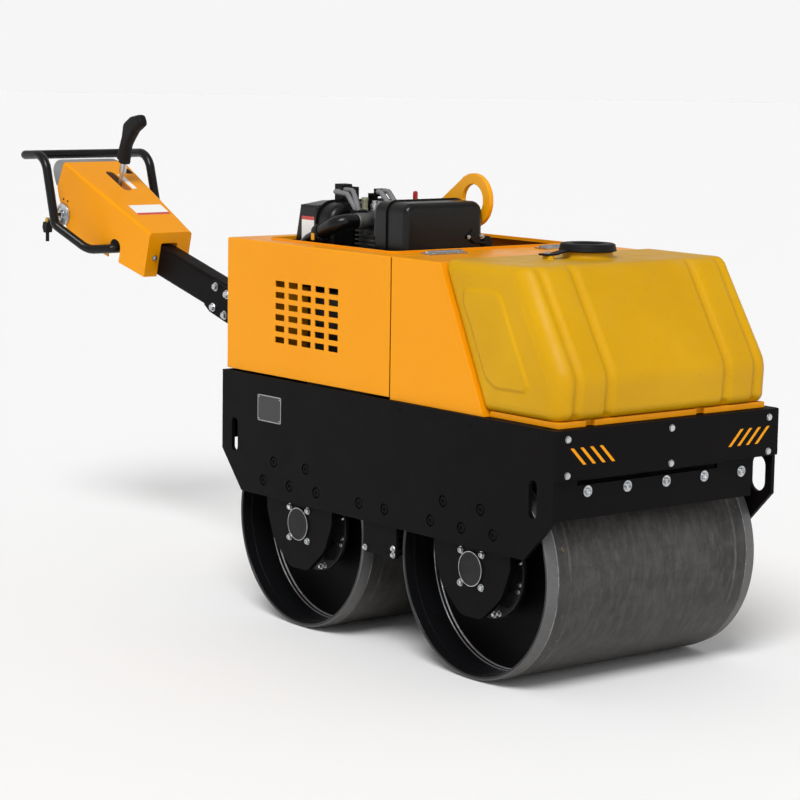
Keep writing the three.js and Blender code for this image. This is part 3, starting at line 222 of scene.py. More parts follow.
def drum_skin():
    """Rolled steel: mottled mill scale outside, bands along the rims rubbed brighter, paint inside, and
    painted shade that darkens the shell towards the bottom.
    """
    f = Finish("drum_steel", Specular_IOR_Level=0.4)
    x, y, z = f.add("SeparateXYZ", {0: f.place}).outputs
    off_axle = f.minus(f.maths("ABSOLUTE", x), AXLE * MM)
    lift = f.minus(z, DRUM_RADIUS * MM)
    reach = f.maths("SQRT", f.plus(f.times(off_axle, off_axle), f.times(lift, lift)))
    outside = f.between(f.plus(reach, f.times(f.noise(45, 3.0), 0.0016)), 0.2348, 0.2356)
    width = f.maths("ABSOLUTE", y)
    ragged = f.plus(width, f.times(f.minus(f.noise(80, 5.0, 0.75), 0.5), 0.009))
    teeth = f.plus(width, f.times(f.minus(f.noise(260, 3.0, 0.7), 0.5), 0.006))
    rim = f.between(ragged, 0.270, 0.2745)
    shoulder = f.times(f.between(ragged, 0.2375, 0.2415), f.minus(1.0, rim))
    seam = f.stripe(teeth, 0.2725, 0.0005, 0.0017)
    line = f.stripe(ragged, 0.2395, 0.0008, 0.0045)
    patchy = f.patches(0.36, 0.62, 11, 4.0, 0.6, 0.4)
    brushed = f.noise(60, 5.0, 0.7, 0.2, f.stretched(0.35, 1.0, 0.35))
    rolled = f.noise(34, 4.0, 0.65, 0.3, f.stretched(1.0, 0.2, 1.0))
    blotch = f.noise(8, 5.0, 0.62, 0.5)
    pits = f.patches(0.58, 0.72, 210, 3.0, 0.7)
    spots = f.times(f.patches(0.62, 0.7, 85, 4.0, 0.7, 0.8),
                    f.times(f.between(width, 0.17, 0.24), f.patches(0.45, 0.6, 6, 2.0)))
    earth = f.times(f.between(z, 0.2, 0.02), f.patches(0.42, 0.72, 26, 5.0, 0.7))
    rust = f.patches(0.66, 0.74, 31, 5.0, 0.75, 1.2)
    steel = f.mixed(f.between(blotch, 0.34, 0.66), rgb(58, 56, 55), rgb(80, 78, 77))
    for where, share, colour in (
            (f.between(brushed, 0.42, 0.7), 0.5, rgb(110, 107, 105)),
            (f.between(rolled, 0.45, 0.7), 0.3, rgb(48, 46, 45)),
            (shoulder, 0.25, rgb(54, 54, 55)),
            (rim, 0.55, rgb(128, 128, 129)),
            (f.times(line, patchy), 0.45, rgb(134, 130, 120)),
            (f.times(seam, patchy), 0.8, rgb(196, 194, 188)),
            (spots, 0.8, rgb(168, 148, 96)),
            # painted shade: dark grey mixed in towards the bottom of the drum at rest, turning with the
            # drum
            (f.between(z, 0.42, 0.05), 0.35, rgb(36, 35, 35)),
            (earth, 0.35, rgb(84, 76, 54)),
            (rust, 0.3, rgb(112, 88, 60)),
            (pits, 0.5, rgb(40, 39, 38))):
        steel = f.mixed(f.times(where, share), steel, colour)
    f.set("Base Color", f.mixed(outside, rgb(16, 16, 18), steel))
    f.set("Metallic", f.times(outside, 0.55))
    bare = f.plus(f.times(f.between(blotch, 0.3, 0.7), 0.14), f.plus(0.44, f.times(rim, -0.08)))
    f.set("Roughness", f.plus(f.times(outside, f.minus(bare, 0.24)), 0.24))
    raised = f.plus(f.times(line, 0.5), f.times(seam, 1.2))
    relief = f.plus(f.times(brushed, 0.4), f.plus(f.times(pits, -0.4), raised))
    f.bump(relief, 0.0006, 0.55)
    return f.material


def bright_plate(name, colour, shade, roughness, metallic=1.0):
    """Plated steel, a little cloudy, with dirt in scattered patches."""
    f = Finish(name, Metallic=metallic, Specular_IOR_Level=0.5)
    cloud = f.patches(0.35, 0.7, 70, 4.0, 0.6)
    body = f.mixed(cloud, colour, shade)
    grime = f.patches(0.6, 0.75, 190, 4.0, 0.7)
    f.set("Base Color", f.mixed(f.times(grime, 0.4), body, rgb(70, 66, 60)))
    f.set("Roughness", f.plus(f.times(cloud, 0.14), roughness))
    f.bump(f.noise(500, 2.0), FINE_GRAIN)
    return f.material


def casting(name, colour, shade, roughness, metallic, gloss=0.5):
    """Sand-cast metal with a pebbly skin and oil-dark patches."""
    f = Finish(name, Metallic=metallic, Specular_IOR_Level=gloss)
    oil = f.patches(0.42, 0.66, 16, 4.0, 0.65, 0.5)
    body = f.mixed(oil, colour, shade)
    rubbed = f.times(f.edges(0.0014), f.patches(0.42, 0.7, 50, 3.0))
    f.set("Base Color", f.mixed(f.times(rubbed, 0.4), body, BRIGHT))
    f.set("Roughness", f.plus(f.times(f.minus(1.0, oil), 0.14), roughness))
    f.bump(f.plus(f.noise(260, 3.0), f.times(f.cells(520), 0.5)), 0.00018, 0.6)
    return f.material


def label_print(name, ground, worn):
    """Printed film: almost even, with faint scuffs."""
    f = Finish(name, Specular_IOR_Level=0.5, Coat_Weight=0.2)
    scuff = f.patches(0.58, 0.76, 120, 4.0, 0.7)
    f.set("Base Color", f.mixed(f.times(scuff, 0.5), ground, worn))
    f.set("Roughness", f.plus(f.times(scuff, 0.2), 0.35))
    f.bump(f.noise(60, 1.0), 0.00004)
    return f.material


FINISHES = {
    "hood_orange": paint("hood_orange", rgb(234, 151, 4), rgb(230, 144, 1), rgb(250, 186, 90),
                         0.36, 0.05, 0.05, 0.12),
    "frame_black": paint("frame_black", rgb(14, 12, 13), rgb(10, 9, 10), rgb(44, 42, 41),
                         0.44, 0.03, 0.0, 0.05),
    "tank_yellow": tank_skin(),
    "bracket_yellow": paint("bracket_yellow", rgb(238, 164, 12), rgb(230, 156, 8), rgb(248, 192, 80),
                            0.34, 0.1, 0.05, 0.25),
    "drum_steel": drum_skin(),
    "cast_steel": casting("cast_steel", rgb(36, 36, 37), rgb(20, 20, 22), 0.4, 0.2, 0.2),
    "black_gloss": paint("black_gloss", rgb(14, 14, 15), rgb(10, 10, 11), rgb(40, 40, 42),
                         0.3, 0.04, 0.12, 0.2),
    "black_plastic": moulded("black_plastic", rgb(24, 23, 24), rgb(18, 17, 18), 0.5, specular=0.15),
    "grey_plastic": moulded("grey_plastic", rgb(132, 132, 134), rgb(108, 108, 110), 0.45, specular=0.3),
    "red_plastic": moulded("red_plastic", rgb(178, 26, 34), rgb(150, 20, 28), 0.35),
    "zinc": bright_plate("zinc", rgb(206, 208, 210), rgb(168, 171, 174), 0.26),
    "alloy": casting("alloy", rgb(112, 112, 110), rgb(72, 72, 71), 0.42, 0.7),
}
BLANK_WHITE = label_print("label_white", rgb(238, 238, 236), rgb(206, 204, 200))
BAND_RED = label_print("label_red", rgb(196, 52, 40), rgb(170, 60, 50))
BLANK_METAL = bright_plate("plate_metal", rgb(176, 178, 180), rgb(150, 152, 154), 0.38, 0.7)
ETCHED_DARK = label_print("etched_dark", rgb(18, 18, 19), rgb(42, 42, 42))
FILTER_BOWL = moulded("filter_bowl", rgb(150, 150, 122), rgb(118, 118, 96), 0.3, 300, 0.0001, 0.5)
BRASS = bright_plate("brass_stub", rgb(214, 176, 80), rgb(180, 140, 58), 0.3)


# ---------------------------------------------------------------- mesh helpers, in millimetres

TOP_OF_CHASSIS, TOP_OF_HOOD = 567, 877
HANDLE = Matrix.Translation((-0.665, 0, 0.585)) @ Matrix.Rotation(math.radians(14.6), 4, "Y")
BODY_OF = {node: body for body, nodes in frame["record"]["behaviour"]["bodies"].items() for node in nodes}
SLOT_OF = {part["node"]: part["material_slot"] for part in frame["record"]["subparts"]}


def finished(name, form, body, slot, finish=None, place=None, angle=35, turn_out=True):
    """The form, in millimetres, as a piece in metres that rides on its body and wears its finish."""
    if place is not None:
        moved = Matrix.Scale(1 / MM, 4) @ place @ Matrix.Scale(MM, 4)
        bmesh.ops.transform(form, matrix=moved, verts=form.verts)
    if turn_out:
        bmesh.ops.recalc_face_normals(form, faces=form.faces)
    bmesh.ops.scale(form, vec=(MM, MM, MM), verts=form.verts)
    return dressed(name, as_mesh(name, form), body, slot, finish, angle)


def remade(node, name, form, finish=None, place=None, angle=35, turn_out=True):
    """The form as a piece that takes the CAD node's place, on its body and in its slot."""
    made = finished(name, form, BODY_OF[node], SLOT_OF[node], finish, place, angle, turn_out)
    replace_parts(made, node)


def as_mesh(name, form):
    """The form as a mesh; the form goes."""
    mesh = bpy.data.meshes.new(name)
    form.to_mesh(mesh)
    form.free()
    return mesh


def shown(name, data):
    """A new object of the scene for this mesh, curve, lamp or camera."""
    made = bpy.data.objects.new(name, data)
    bpy.context.scene.collection.objects.link(made)
    return made


def evaluated_mesh(thing):
    """The object's mesh with its modifiers applied."""
    evaluated = thing.evaluated_get(bpy.context.evaluated_depsgraph_get())
    return bpy.data.meshes.new_from_object(evaluated)


def dressed(name, mesh, body, slot, finish=None, angle=35):
    """The mesh, in metres, as a piece with even shading that rides on its body."""
    mesh.shade_smooth()
    mesh.set_sharp_from_angle(angle=math.radians(angle))
    mesh.materials.clear()
    mesh.materials.append(finish or FINISHES[slot])
    made = shown(name, mesh)
    even = made.modifiers.new("even", "WEIGHTED_NORMAL")
    even.keep_sharp = True
    made.data = evaluated_mesh(made)
    made.modifiers.remove(even)
    bpy.data.meshes.remove(mesh)
    made.data.name = name
    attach(made, body)
    return made


def soften(form, width, segments=2, angle=30):
    """Rounds every edge that is sharper than the angle."""
    sharp = [e for e in form.edges if e.is_manifold and e.calc_face_angle(0) > math.radians(angle)]
    if width and sharp:
        bmesh.ops.bevel(form, geom=sharp, offset=width, segments=segments, profile=0.5,
                        affect="EDGES", clamp_overlap=False)


def absorb(form, other):
    """Adds the other form to this one."""
    mesh = as_mesh("part", other)
    form.from_mesh(mesh)
    bpy.data.meshes.remove(mesh)
    return form


def tidied(node):
    """A merged copy of a CAD node's mesh, in millimetres, with its flat facets made one."""
    form = bmesh.new()
    form.from_mesh(frame["nodes"][node].data)
    bmesh.ops.scale(form, vec=(1 / MM, 1 / MM, 1 / MM), verts=form.verts)
    bmesh.ops.remove_doubles(form, verts=form.verts, dist=0.01)
    bmesh.ops.dissolve_limit(form, angle_limit=math.radians(0.6), verts=form.verts, edges=form.edges)
    return form


def softened(node, width, segments=2, angle=30, smooth=35):
    """The node again with rounded edges."""
    form = tidied(node)
    soften(form, width, segments, angle)
    remade(node, node + "_soft", form, angle=smooth, turn_out=False)


def melted(node, voxel, passes):
    """The node again as one soft skin, for moulded pieces."""
    form = tidied(node)
    bmesh.ops.scale(form, vec=(MM, MM, MM), verts=form.verts)
    source = shown(node + "_mould", as_mesh(node, form))
    skin = source.modifiers.new("skin", "REMESH")
    skin.mode = "VOXEL"
    skin.voxel_size = voxel * MM
    smooth = source.modifiers.new("smooth", "SMOOTH")
    smooth.factor = 0.5
    smooth.iterations = passes
    made = evaluated_mesh(source)
    bpy.data.objects.remove(source)
    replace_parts(dressed(node + "_moulded", made, BODY_OF[node], SLOT_OF[node], angle=180), node)


def arc(before, corner, after, radius):
    """The centre of a corner's rounding, and from there its first and its last point."""
    back = (before - corner).normalized()
    ahead = (after - corner).normalized()
    half = back.angle(ahead) / 2
    centre = corner + (back + ahead).normalized() * radius / math.sin(half)
    first = corner + back * radius / math.tan(half) - centre
    last = corner + ahead * radius / math.tan(half) - centre
    return centre, first, last


def rounded(corners, steps=6):
    """Points of an outline whose corners are [a, b] or [a, b, radius]."""
    points = []
    for i, (a, b, *more) in enumerate(corners):
        radius = more[0] if more else 0
        corner = Vector((a, b))
        if not radius:
            points.append(corner)
            continue
        before, after = Vector(corners[i - 1][:2]), Vector(corners[(i + 1) % len(corners)][:2])
        centre, first, last = arc(before, corner, after, radius)
        sweep = first.angle_signed(last)
        for k in range(steps + 1):
            turn = -sweep * k / steps
            points.append(centre + Vector((first.x * math.cos(turn) - first.y * math.sin(turn),
                                           first.x * math.sin(turn) + first.y * math.cos(turn))))
    return points


def oblong(a0, a1, b0, b1, radius=0, steps=6):
    """Points of a rectangle with equal corners."""
    return rounded([(a0, b0, radius), (a1, b0, radius), (a1, b1, radius), (a0, b1, radius)], steps)


def ring_points(a, b, radius, sides):
    """Points of a circle."""
    turns = [2 * math.pi * k / sides for k in range(sides)]
    return [Vector((a + radius * math.cos(t), b + radius * math.sin(t))) for t in turns]


AXES = {"x": lambda a, b, c: (c, a, b), "y": lambda a, b, c: (a, c, b), "z": lambda a, b, c: (a, b, c)}


def slab(form, outline, axis, low, high):
    """Adds a flat outline made thick along an axis; the outline's plane is (y, z), (x, z) or (x, y)."""
    place = AXES[axis]
    rings = [[form.verts.new(place(p[0], p[1], c)) for p in outline] for c in (low, high)]
    for k in range(len(outline)):
        n = (k + 1) % len(outline)
        form.faces.new((rings[0][k], rings[0][n], rings[1][n], rings[1][k]))
    form.faces.new(rings[0][::-1])
    form.faces.new(rings[1])
    return form


def box(form, x0, x1, y0, y1, z0, z1):
    """Adds a block given by its sides."""
    return slab(form, [(x0, y0), (x1, y0), (x1, y1), (x0, y1)], "z", z0, z1)


def loft(form, rings):
    """Skins a stack of rings, each a list of (x, y, z) with the same count, and caps its ends."""
    made = [[form.verts.new(p) for p in ring] for ring in rings]
    for lower, upper in zip(made, made[1:]):
        for k in range(len(lower)):
            n = (k + 1) % len(lower)
            form.faces.new((lower[k], lower[n], upper[n], upper[k]))
    form.faces.new(made[0][::-1])
    form.faces.new(made[-1])
    return form


def lathe(form, profile, sides, centre=(0, 0, 0), axis="y"):
    """A closed profile of (radius, height) turned about an axis through the centre."""
    place = {"y": lambda r, h, t: (r * math.cos(t), h, r * math.sin(t)),
             "z": lambda r, h, t: (r * math.cos(t), r * math.sin(t), h),
             "x": lambda r, h, t: (h, r * math.cos(t), r * math.sin(t))}[axis]
    middle = Vector(centre)
    rings = []
    for radius, height in profile:
        if radius == 0:
            rings.append([form.verts.new(middle + Vector(place(0, height, 0)))] * sides)
        else:
            rings.append([form.verts.new(middle + Vector(place(radius, height, 2 * math.pi * k / sides)))
                          for k in range(sides)])
    for lower, upper in zip(rings, rings[1:] + rings[:1]):
        for k in range(sides):
            n = (k + 1) % sides
            corners = list(dict.fromkeys((lower[k], lower[n], upper[n], upper[k])))
            if len(corners) > 2:
                form.faces.new(corners)
    return form


def bend(corners, steps=8):
    """Points along straight runs and round bends, from corners [x, y, z, bend radius]."""
    points = [Vector(corners[0][:3])]
    for before, (x, y, z, *more), after in zip(corners, corners[1:], corners[2:]):
        centre, first, last = arc(Vector(before[:3]), Vector((x, y, z)), Vector(after[:3]), more[0])
        sweep = first.angle(last)
        for k in range(steps + 1):
            early, late = math.sin((1 - k / steps) * sweep), math.sin(k / steps * sweep)
            points.append(centre + (first * early + last * late) / math.sin(sweep))
    points.append(Vector(corners[-1][:3]))
    return points


def tube(form, points, radius, sides=24):
    """A round tube along the points; radius is one number, or one for each point."""
    radii = radius if isinstance(radius, list) else [radius] * len(points)
    ahead = [(points[min(k + 1, len(points) - 1)] - points[max(k - 1, 0)]).normalized()
             for k in range(len(points))]
    square = ahead[0].orthogonal().normalized()
    rings = []
    for point, along, size in zip(points, ahead, radii):
        square = (square - along * square.dot(along)).normalized()
        other = along.cross(square)
        rings.append([point + (square * math.cos(t) + other * math.sin(t)) * size
                      for t in (2 * math.pi * k / sides for k in range(sides))])
    return loft(form, rings)


def carved(form, tools):
    """The form with every tool's volume taken out of it."""
    solids = []
    for part in (form, tools):
        bmesh.ops.recalc_face_normals(part, faces=part.faces)
        solids.append(shown("part", as_mesh("part", part)))
    body, cutter = solids
    change = body.modifiers.new("cut", "BOOLEAN")
    change.object = cutter
    change.solver = "EXACT"
    change.use_self = True
    mesh = evaluated_mesh(body)
    bpy.data.objects.remove(body)
    bpy.data.objects.remove(cutter)
    result = bmesh.new()
    result.from_mesh(mesh)
    bpy.data.meshes.remove(mesh)
    bmesh.ops.remove_doubles(result, verts=result.verts, dist=0.005)
    bmesh.ops.dissolve_limit(result, angle_limit=math.radians(0.6), verts=result.verts, edges=result.edges)
    return result


def mirrored(form):
    """A copy for the other side of the machine."""
    other = form.copy()
    bmesh.ops.scale(other, vec=(1, -1, 1), verts=other.verts)
    bmesh.ops.reverse_faces(other, faces=other.faces)
    return other


# ---------------------------------------------------------------- fasteners and ribbed runs

class Tree:
    """A geometry tree under construction, with named inputs for its sizes."""

    def __init__(self, name, inputs):
        self.group = bpy.data.node_groups.new(name, "GeometryNodeTree")
        face = self.group.interface
        face.new_socket("Geometry", in_out="INPUT", socket_type="NodeSocketGeometry")
        self.ids = {}
        for label, value in inputs.items():
            kind = {float: "NodeSocketFloat", int: "NodeSocketInt"}.get(type(value), "NodeSocketMaterial")
            socket = face.new_socket(label, in_out="INPUT", socket_type=kind)
            if value is not None:
                socket.default_value = value
            self.ids[label] = socket.identifier
        face.new_socket("Geometry", in_out="OUTPUT", socket_type="NodeSocketGeometry")
        self.given = self.group.nodes.new("NodeGroupInput").outputs

    def add(self, kind, inputs=(), **settings):
        made = self.group.nodes.new(kind)
        for name, value in settings.items():
            setattr(made, name, value)
        for socket, value in dict(inputs).items():
            if isinstance(value, bpy.types.NodeSocket):
                self.group.links.new(value, made.inputs[socket])
            else:
                made.inputs[socket].default_value = value
        return made.outputs

    def maths(self, operation, first, second=0.0):
        return self.add("ShaderNodeMath", {0: first, 1: second}, operation=operation)[0]

    def raised(self, geometry, height):
        offset = self.add("ShaderNodeCombineXYZ", {"Z": height})[0]
        return self.add("GeometryNodeTransform", {"Geometry": geometry, "Translation": offset})[0]

    def joined(self, *pieces):
        node = self.group.nodes.new("GeometryNodeJoinGeometry")
        for piece in reversed(pieces):
            self.group.links.new(piece, node.inputs[0])
        return node.outputs[0]

    def ends(self, geometry):
        solid = self.add("GeometryNodeRealizeInstances", {"Geometry": geometry})[0]
        coat = {"Geometry": solid, "Material": self.given["Finish"]}
        coated = self.add("GeometryNodeSetMaterial", coat)[0]
        self.group.links.new(coated, self.group.nodes.new("NodeGroupOutput").inputs[0])
        return self


SPIN_SEED = 3


def fastener_tree(name, socket):
    """Washer, head and chamfered crown on every point, turned to face the way the point says."""
    sizes = {"Radius": 0.01, "Height": 0.007, "Sides": 6, "Crown": 0.9, "Washer": 0.014,
             "Washer Thick": 0.002, "Socket": 0.004, "Seed": SPIN_SEED, "Finish": None}
    t = Tree(name, sizes)
    g = t.given

    def round_bar(vertices, radius, depth):
        return t.add("GeometryNodeMeshCylinder", {"Vertices": vertices, "Radius": radius,
                                                  "Depth": depth})[0]

    washer = round_bar(24, g["Washer"], g["Washer Thick"])
    washer = t.raised(washer, t.maths("MULTIPLY", g["Washer Thick"], 0.5))
    straight = t.maths("MULTIPLY", g["Height"], 0.7)
    slope = t.maths("MULTIPLY", g["Height"], 0.3)
    head = round_bar(g["Sides"], g["Radius"], straight)
    head = t.raised(head, t.maths("ADD", g["Washer Thick"], t.maths("MULTIPLY", straight, 0.5)))
    top = t.maths("MULTIPLY", g["Radius"], g["Crown"])
    cone = {"Vertices": g["Sides"], "Radius Top": top, "Radius Bottom": g["Radius"], "Depth": slope}
    crown = t.add("GeometryNodeMeshCone", cone)[0]
    crown = t.raised(crown, t.maths("ADD", g["Washer Thick"], straight))
    if socket:
        key = round_bar(6, g["Socket"], g["Height"])
        key = t.raised(key, t.maths("ADD", g["Washer Thick"], g["Height"]))
        crown, head = (t.add("GeometryNodeMeshBoolean", {"Mesh 1": part, "Mesh 2": key},
                             operation="DIFFERENCE")[0] for part in (crown, head))
    whole = t.joined(t.joined(head, crown), washer)
    facing = t.add("GeometryNodeInputNamedAttribute", {"Name": "facing"}, data_type="FLOAT_VECTOR")[0]
    stand = t.add("FunctionNodeAlignRotationToVector", {"Vector": facing}, axis="Z")[0]
    any_turn = {2: 0.0, 3: 6.283, "Seed": g["Seed"]}
    spin = t.add("FunctionNodeRandomValue", any_turn, data_type="FLOAT")[1]
    turn = t.add("ShaderNodeCombineXYZ", {"Z": spin})[0]
    both = t.add("FunctionNodeRotateRotation", {"Rotation": stand, "Rotate By": turn},
                 rotation_space="LOCAL")[0]
    placed = {"Points": g["Geometry"], "Instance": whole, "Rotation": both}
    return t.ends(t.add("GeometryNodeInstanceOnPoints", placed)[0])


def ribbed_tree():
    """A hose along a curve, swelling at every rib."""
    t = Tree("ribbed_run", {"Radius": 0.0055, "Rib": 0.16, "Pitch": 0.004, "Finish": None})
    g = t.given
    step = t.maths("DIVIDE", g["Pitch"], 4.0)
    run = t.add("GeometryNodeResampleCurve", {"Curve": g["Geometry"], "Length": step}, mode="LENGTH")[0]
    along = t.add("GeometryNodeSplineParameter")["Length"]
    phase = t.maths("MULTIPLY", t.maths("DIVIDE", along, g["Pitch"]), 2 * math.pi)
    wave = t.maths("ADD", 0.5, t.maths("MULTIPLY", 0.5, t.maths("COSINE", phase)))
    swell = t.maths("SUBTRACT", 1.0, t.maths("MULTIPLY", g["Rib"], wave))
    size = t.maths("MULTIPLY", swell, g["Radius"])
    circle = t.add("GeometryNodeCurvePrimitiveCircle", {"Resolution": 14, "Radius": 1.0}, mode="RADIUS")[0]
    sized = t.add("GeometryNodeSetCurveRadius", {"Curve": run, "Radius": size})[0]
    skin = t.add("GeometryNodeCurveToMesh", {"Curve": sized, "Profile Curve": circle, "Scale": size,
                                            "Fill Caps": True})[0]
    return t.ends(skin)


PLAIN_HEAD = fastener_tree("plain_heads", False)
SOCKET_HEAD = fastener_tree("socket_heads", True)
RIBBED = ribbed_tree()


def grown(source, tree, values):
    """The tree's result on the source object, as a plain mesh; the source goes."""
    change = source.modifiers.new("grow", "NODES")
    change.node_group = tree.group
    for label, value in values.items():
        change[tree.ids[label]] = value
    bpy.context.view_layer.update()
    mesh = evaluated_mesh(source)
    source.modifiers.remove(change)
    bpy.data.objects.remove(source)
    return mesh


def fasteners(name, places, radius, height, sides=6, washer=1.35, thick=1.6, crown=0.88, socket=0.0,
              body="chassis", slot="zinc"):
    """Bolts at places given as (point, facing), in millimetres."""
    mesh = bpy.data.meshes.new(name + "_points")
    mesh.from_pydata([Vector(point) * MM for point, facing in places], [], [])
    towards = mesh.attributes.new("facing", "FLOAT_VECTOR", "POINT")
    for k, (point, facing) in enumerate(places):
        towards.data[k].vector = Vector(facing).normalized()
    values = {"Radius": radius * MM, "Height": height * MM, "Sides": sides, "Crown": crown,
              "Washer": radius * washer * MM, "Washer Thick": thick * MM, "Socket": socket * MM,
              "Seed": SPIN_SEED, "Finish": FINISHES[slot]}
    heads = grown(shown(name + "_points", mesh), SOCKET_HEAD if socket else PLAIN_HEAD, values)
    return dressed(name, heads, body, slot, angle=40)


def ribbed(name, runs, body, slot, radius, rib=0.16, pitch=4.0):
    """Ribbed hoses along several runs of points, in millimetres, as one mesh."""
    curve = bpy.data.curves.new(name, "CURVE")
    curve.dimensions = "3D"
    for points in runs:
        line = curve.splines.new("POLY")
        line.points.add(len(points) - 1)
        for k, point in enumerate(points):
            line.points[k].co = (*(Vector(point) * MM), 1)
    values = {"Radius": radius * MM, "Rib": rib, "Pitch": pitch * MM, "Finish": FINISHES[slot]}
    mesh = grown(shown(name + "_runs", curve), RIBBED, values)
    return dressed(name, mesh, body, slot, angle=80)


def turned_by(place, places):
    """Places and facings given in a part's own frame, in the machine's."""
    spin = place.to_3x3()
    return [(place @ (Vector(p) * MM) / MM, spin @ Vector(f)) for p, f in places]


def both_sides(places):
    """The places and facings, and the same across the middle plane."""
    return places + [((x, -y, z), (a, -b, c)) for (x, y, z), (a, b, c) in places]


# ---------------------------------------------------------------- drums

def turned_drum(end, axle):
    """Shell with a ground band and a shallow shoulder at each end, its two webs and their welds."""
    body = end + "_drum"
    middle = (axle, 0, DRUM_RADIUS)
    outer = [(230.5, 300), (235.6, 300), (236.8, 299.2), (237.1, 297.8), (239.6, 277), (239.9, 274.4),
             (239.4, 273.8), (239.5, 272.8), (240, 272), (240, 239.5), (239.75, 238.3), (239.6, 236)]
    bore = [(229.3, 299.4), (229, 298.4)]
    profile = [(r, -y) for r, y in reversed(bore)] + [(r, -y) for r, y in outer]
    profile += [(r, y) for r, y in reversed(outer)] + bore
    shell = lathe(bmesh.new(), profile, 192, middle)
    remade(end + "_drum_shell", end + "_drum_rolled", shell, angle=50)
    for side, hand in SIDES:
        web = [(0, 244), (28.5, 244), (30, 242.5), (30, 213), (31, 212), (50, 212), (52, 210), (53, 206),
               (228.2, 206), (228.2, 194), (0, 194)]
        disc = lathe(bmesh.new(), [(r, hand * y) for r, y in web], 120, middle)
        remade(f"{end}_drum_web_{side}", f"{end}_web_{side}", disc, FINISHES["frame_black"])
        runs = []
        for reach, depth in ((226.2, 208.2), (227.9, 217.5)):
            runs.append([(axle + reach * math.cos(t), hand * depth, DRUM_RADIUS + reach * math.sin(t))
                         for t in (2 * math.pi * k / 160 for k in range(161))])
        ribbed(f"{end}_weld_{side}", runs[:1], body, "zinc", 2.6, 0.3, 6.0)
        ribbed(f"{end}_bead_{side}", runs[1:], body, "zinc", 1.2, 0.1, 9.0)
    softened(end + "_exciter", 3.0)


def bearing(end, axle, side, hand):
    """Carrier flange with its nose through the hanger, on four waisted rubber buffers."""
    name = f"{end}_bearing_{side}"
    middle = (axle, 0, DRUM_RADIUS)
    profile = [(0, 307.2), (33, 307.2), (34, 308), (35.8, 308), (37, 307), (37, 262), (41, 257),
               (46, 256), (110, 256), (112, 254.5), (112, 247.5), (110.5, 246), (62, 246), (62, 218),
               (30.6, 218), (30.6, 245), (0, 245)]
    form = lathe(bmesh.new(), [(r, hand * y) for r, y in profile], 72, middle)
    remade(f"{end}_bearing_carrier_{side}", name, form, angle=30)
    ring = [(36.1, 308.1), (37.5, 308.1), (37.5, 307), (36.1, 307)]
    ring = lathe(bmesh.new(), [(r, hand * y) for r, y in ring], 72, middle)
    finished(name + "_ring", ring, "chassis", "zinc")
    rubber = bmesh.new()
    waist = [(0, 291.7), (21, 291.7), (24, 290.6), (24, 288.5), (21.5, 284), (20.5, 274), (21.5, 264),
             (24, 259.6), (24, 256.2), (0, 256.2)]
    for turn in (math.pi / 4 + k * math.pi / 2 for k in range(4)):
        centre = (axle + math.cos(turn) * 80, 0, DRUM_RADIUS + math.sin(turn) * 80)
        lathe(rubber, [(r, hand * y) for r, y in waist], 28, centre)
    finished(name + "_buffers", rubber, "chassis", "black_plastic")
    out = (0, hand, 0)
    cover = [((axle + a, hand * 304, DRUM_RADIUS + b), out) for a in (-34, 34) for b in (-35, 35)]
    fasteners(name + "_cover_bolts", cover, 6.4, 5.5, 20, 1.25, 0.8, 0.7, 3.4)
    turns = [math.radians(90 * k + more) for k in range(4) for more in (13, 22, 68, 77)]
    flange = [((axle + 103 * math.cos(t), hand * 256, DRUM_RADIUS + 103 * math.sin(t)), out) for t in turns]
    fasteners(name + "_flange_bolts", flange, 4.6, 5.5, 6, 1.4, 1.0)


for end, axle in (("front", AXLE), ("rear", -AXLE)):
    turned_drum(end, axle)
    for side, hand in SIDES:
        bearing(end, axle, side, hand)
        softened(f"{end}_hanger_{side}", 1.0)


# ---------------------------------------------------------------- chassis

SINKS = [(axle - 17 + a, DRUM_RADIUS + b) for axle in (-AXLE, AXLE)
         for a, b in ((-61.5, 134), (61.5, 134), (-102, 86), (0, 86), (102, 86))] + [(-63, 326), (28, 326)]


def side_plate(slots):
    """The right side plate, with its tie-down slots given as their ends along x."""
    outline = [(-592, 567), (-592, 381), (-513, 290), (489, 290), (576, 380), (576, 567)]
    plate = slab(bmesh.new(), outline, "y", -PLATE_FACE, 10 - PLATE_FACE)
    tools = bmesh.new()
    for a, b in slots:
        r = (b - a) / 2 - 0.1
        slab(tools, oblong(a, b, 380, 459, r, 8), "y", -PLATE_FACE - 5, 15 - PLATE_FACE)
    for x, z in SINKS:
        slab(tools, ring_points(x, z, 13, 32), "y", -PLATE_FACE - 5, 5 - PLATE_FACE)
    plate = carved(plate, tools)
    soften(plate, 0.9, 2, 40)
    return plate


def side_plates():
    """The left plate is the right one turned over, but for its front slot."""
    right = side_plate([(-553, -529), (501, 525)])
    left = mirrored(side_plate([(-553, -529), (512, 557)]))
    for side, plate in (("right", right), ("left", left)):
        remade("side_plate_" + side, "side_plate_cut_" + side, plate, angle=40)


def cross_plates():
    """Cross plates, the front one notched at its left lower corner and the rear one at both."""
    def corner(form, hand, top, low, high):
        edge = [(hand * 254, 375), (hand * 254, top, 8), (hand * 320, top), (hand * 320, 375)]
        return slab(form, rounded(edge, 4), "x", low, high)
    front = box(bmesh.new(), 560, 570, -309.7, 309.7, 380, 567)
    front = carved(front, slab(bmesh.new(), oblong(-250, 150, 450, 459), "x", 555, 575))
    rear = box(bmesh.new(), -592, -582, -309.7, 309.7, 380, 567)
    front = carved(front, corner(bmesh.new(), 1, 464, 550, 575))
    rear = carved(rear, corner(corner(bmesh.new(), -1, 404, -600, -575), 1, 404, -600, -575))
    for name, form in (("front_cross_plate", front), ("rear_cross_plate", rear)):
        soften(form, 0.9, 2, 40)
        remade(name, name + "_cut", form, angle=40)


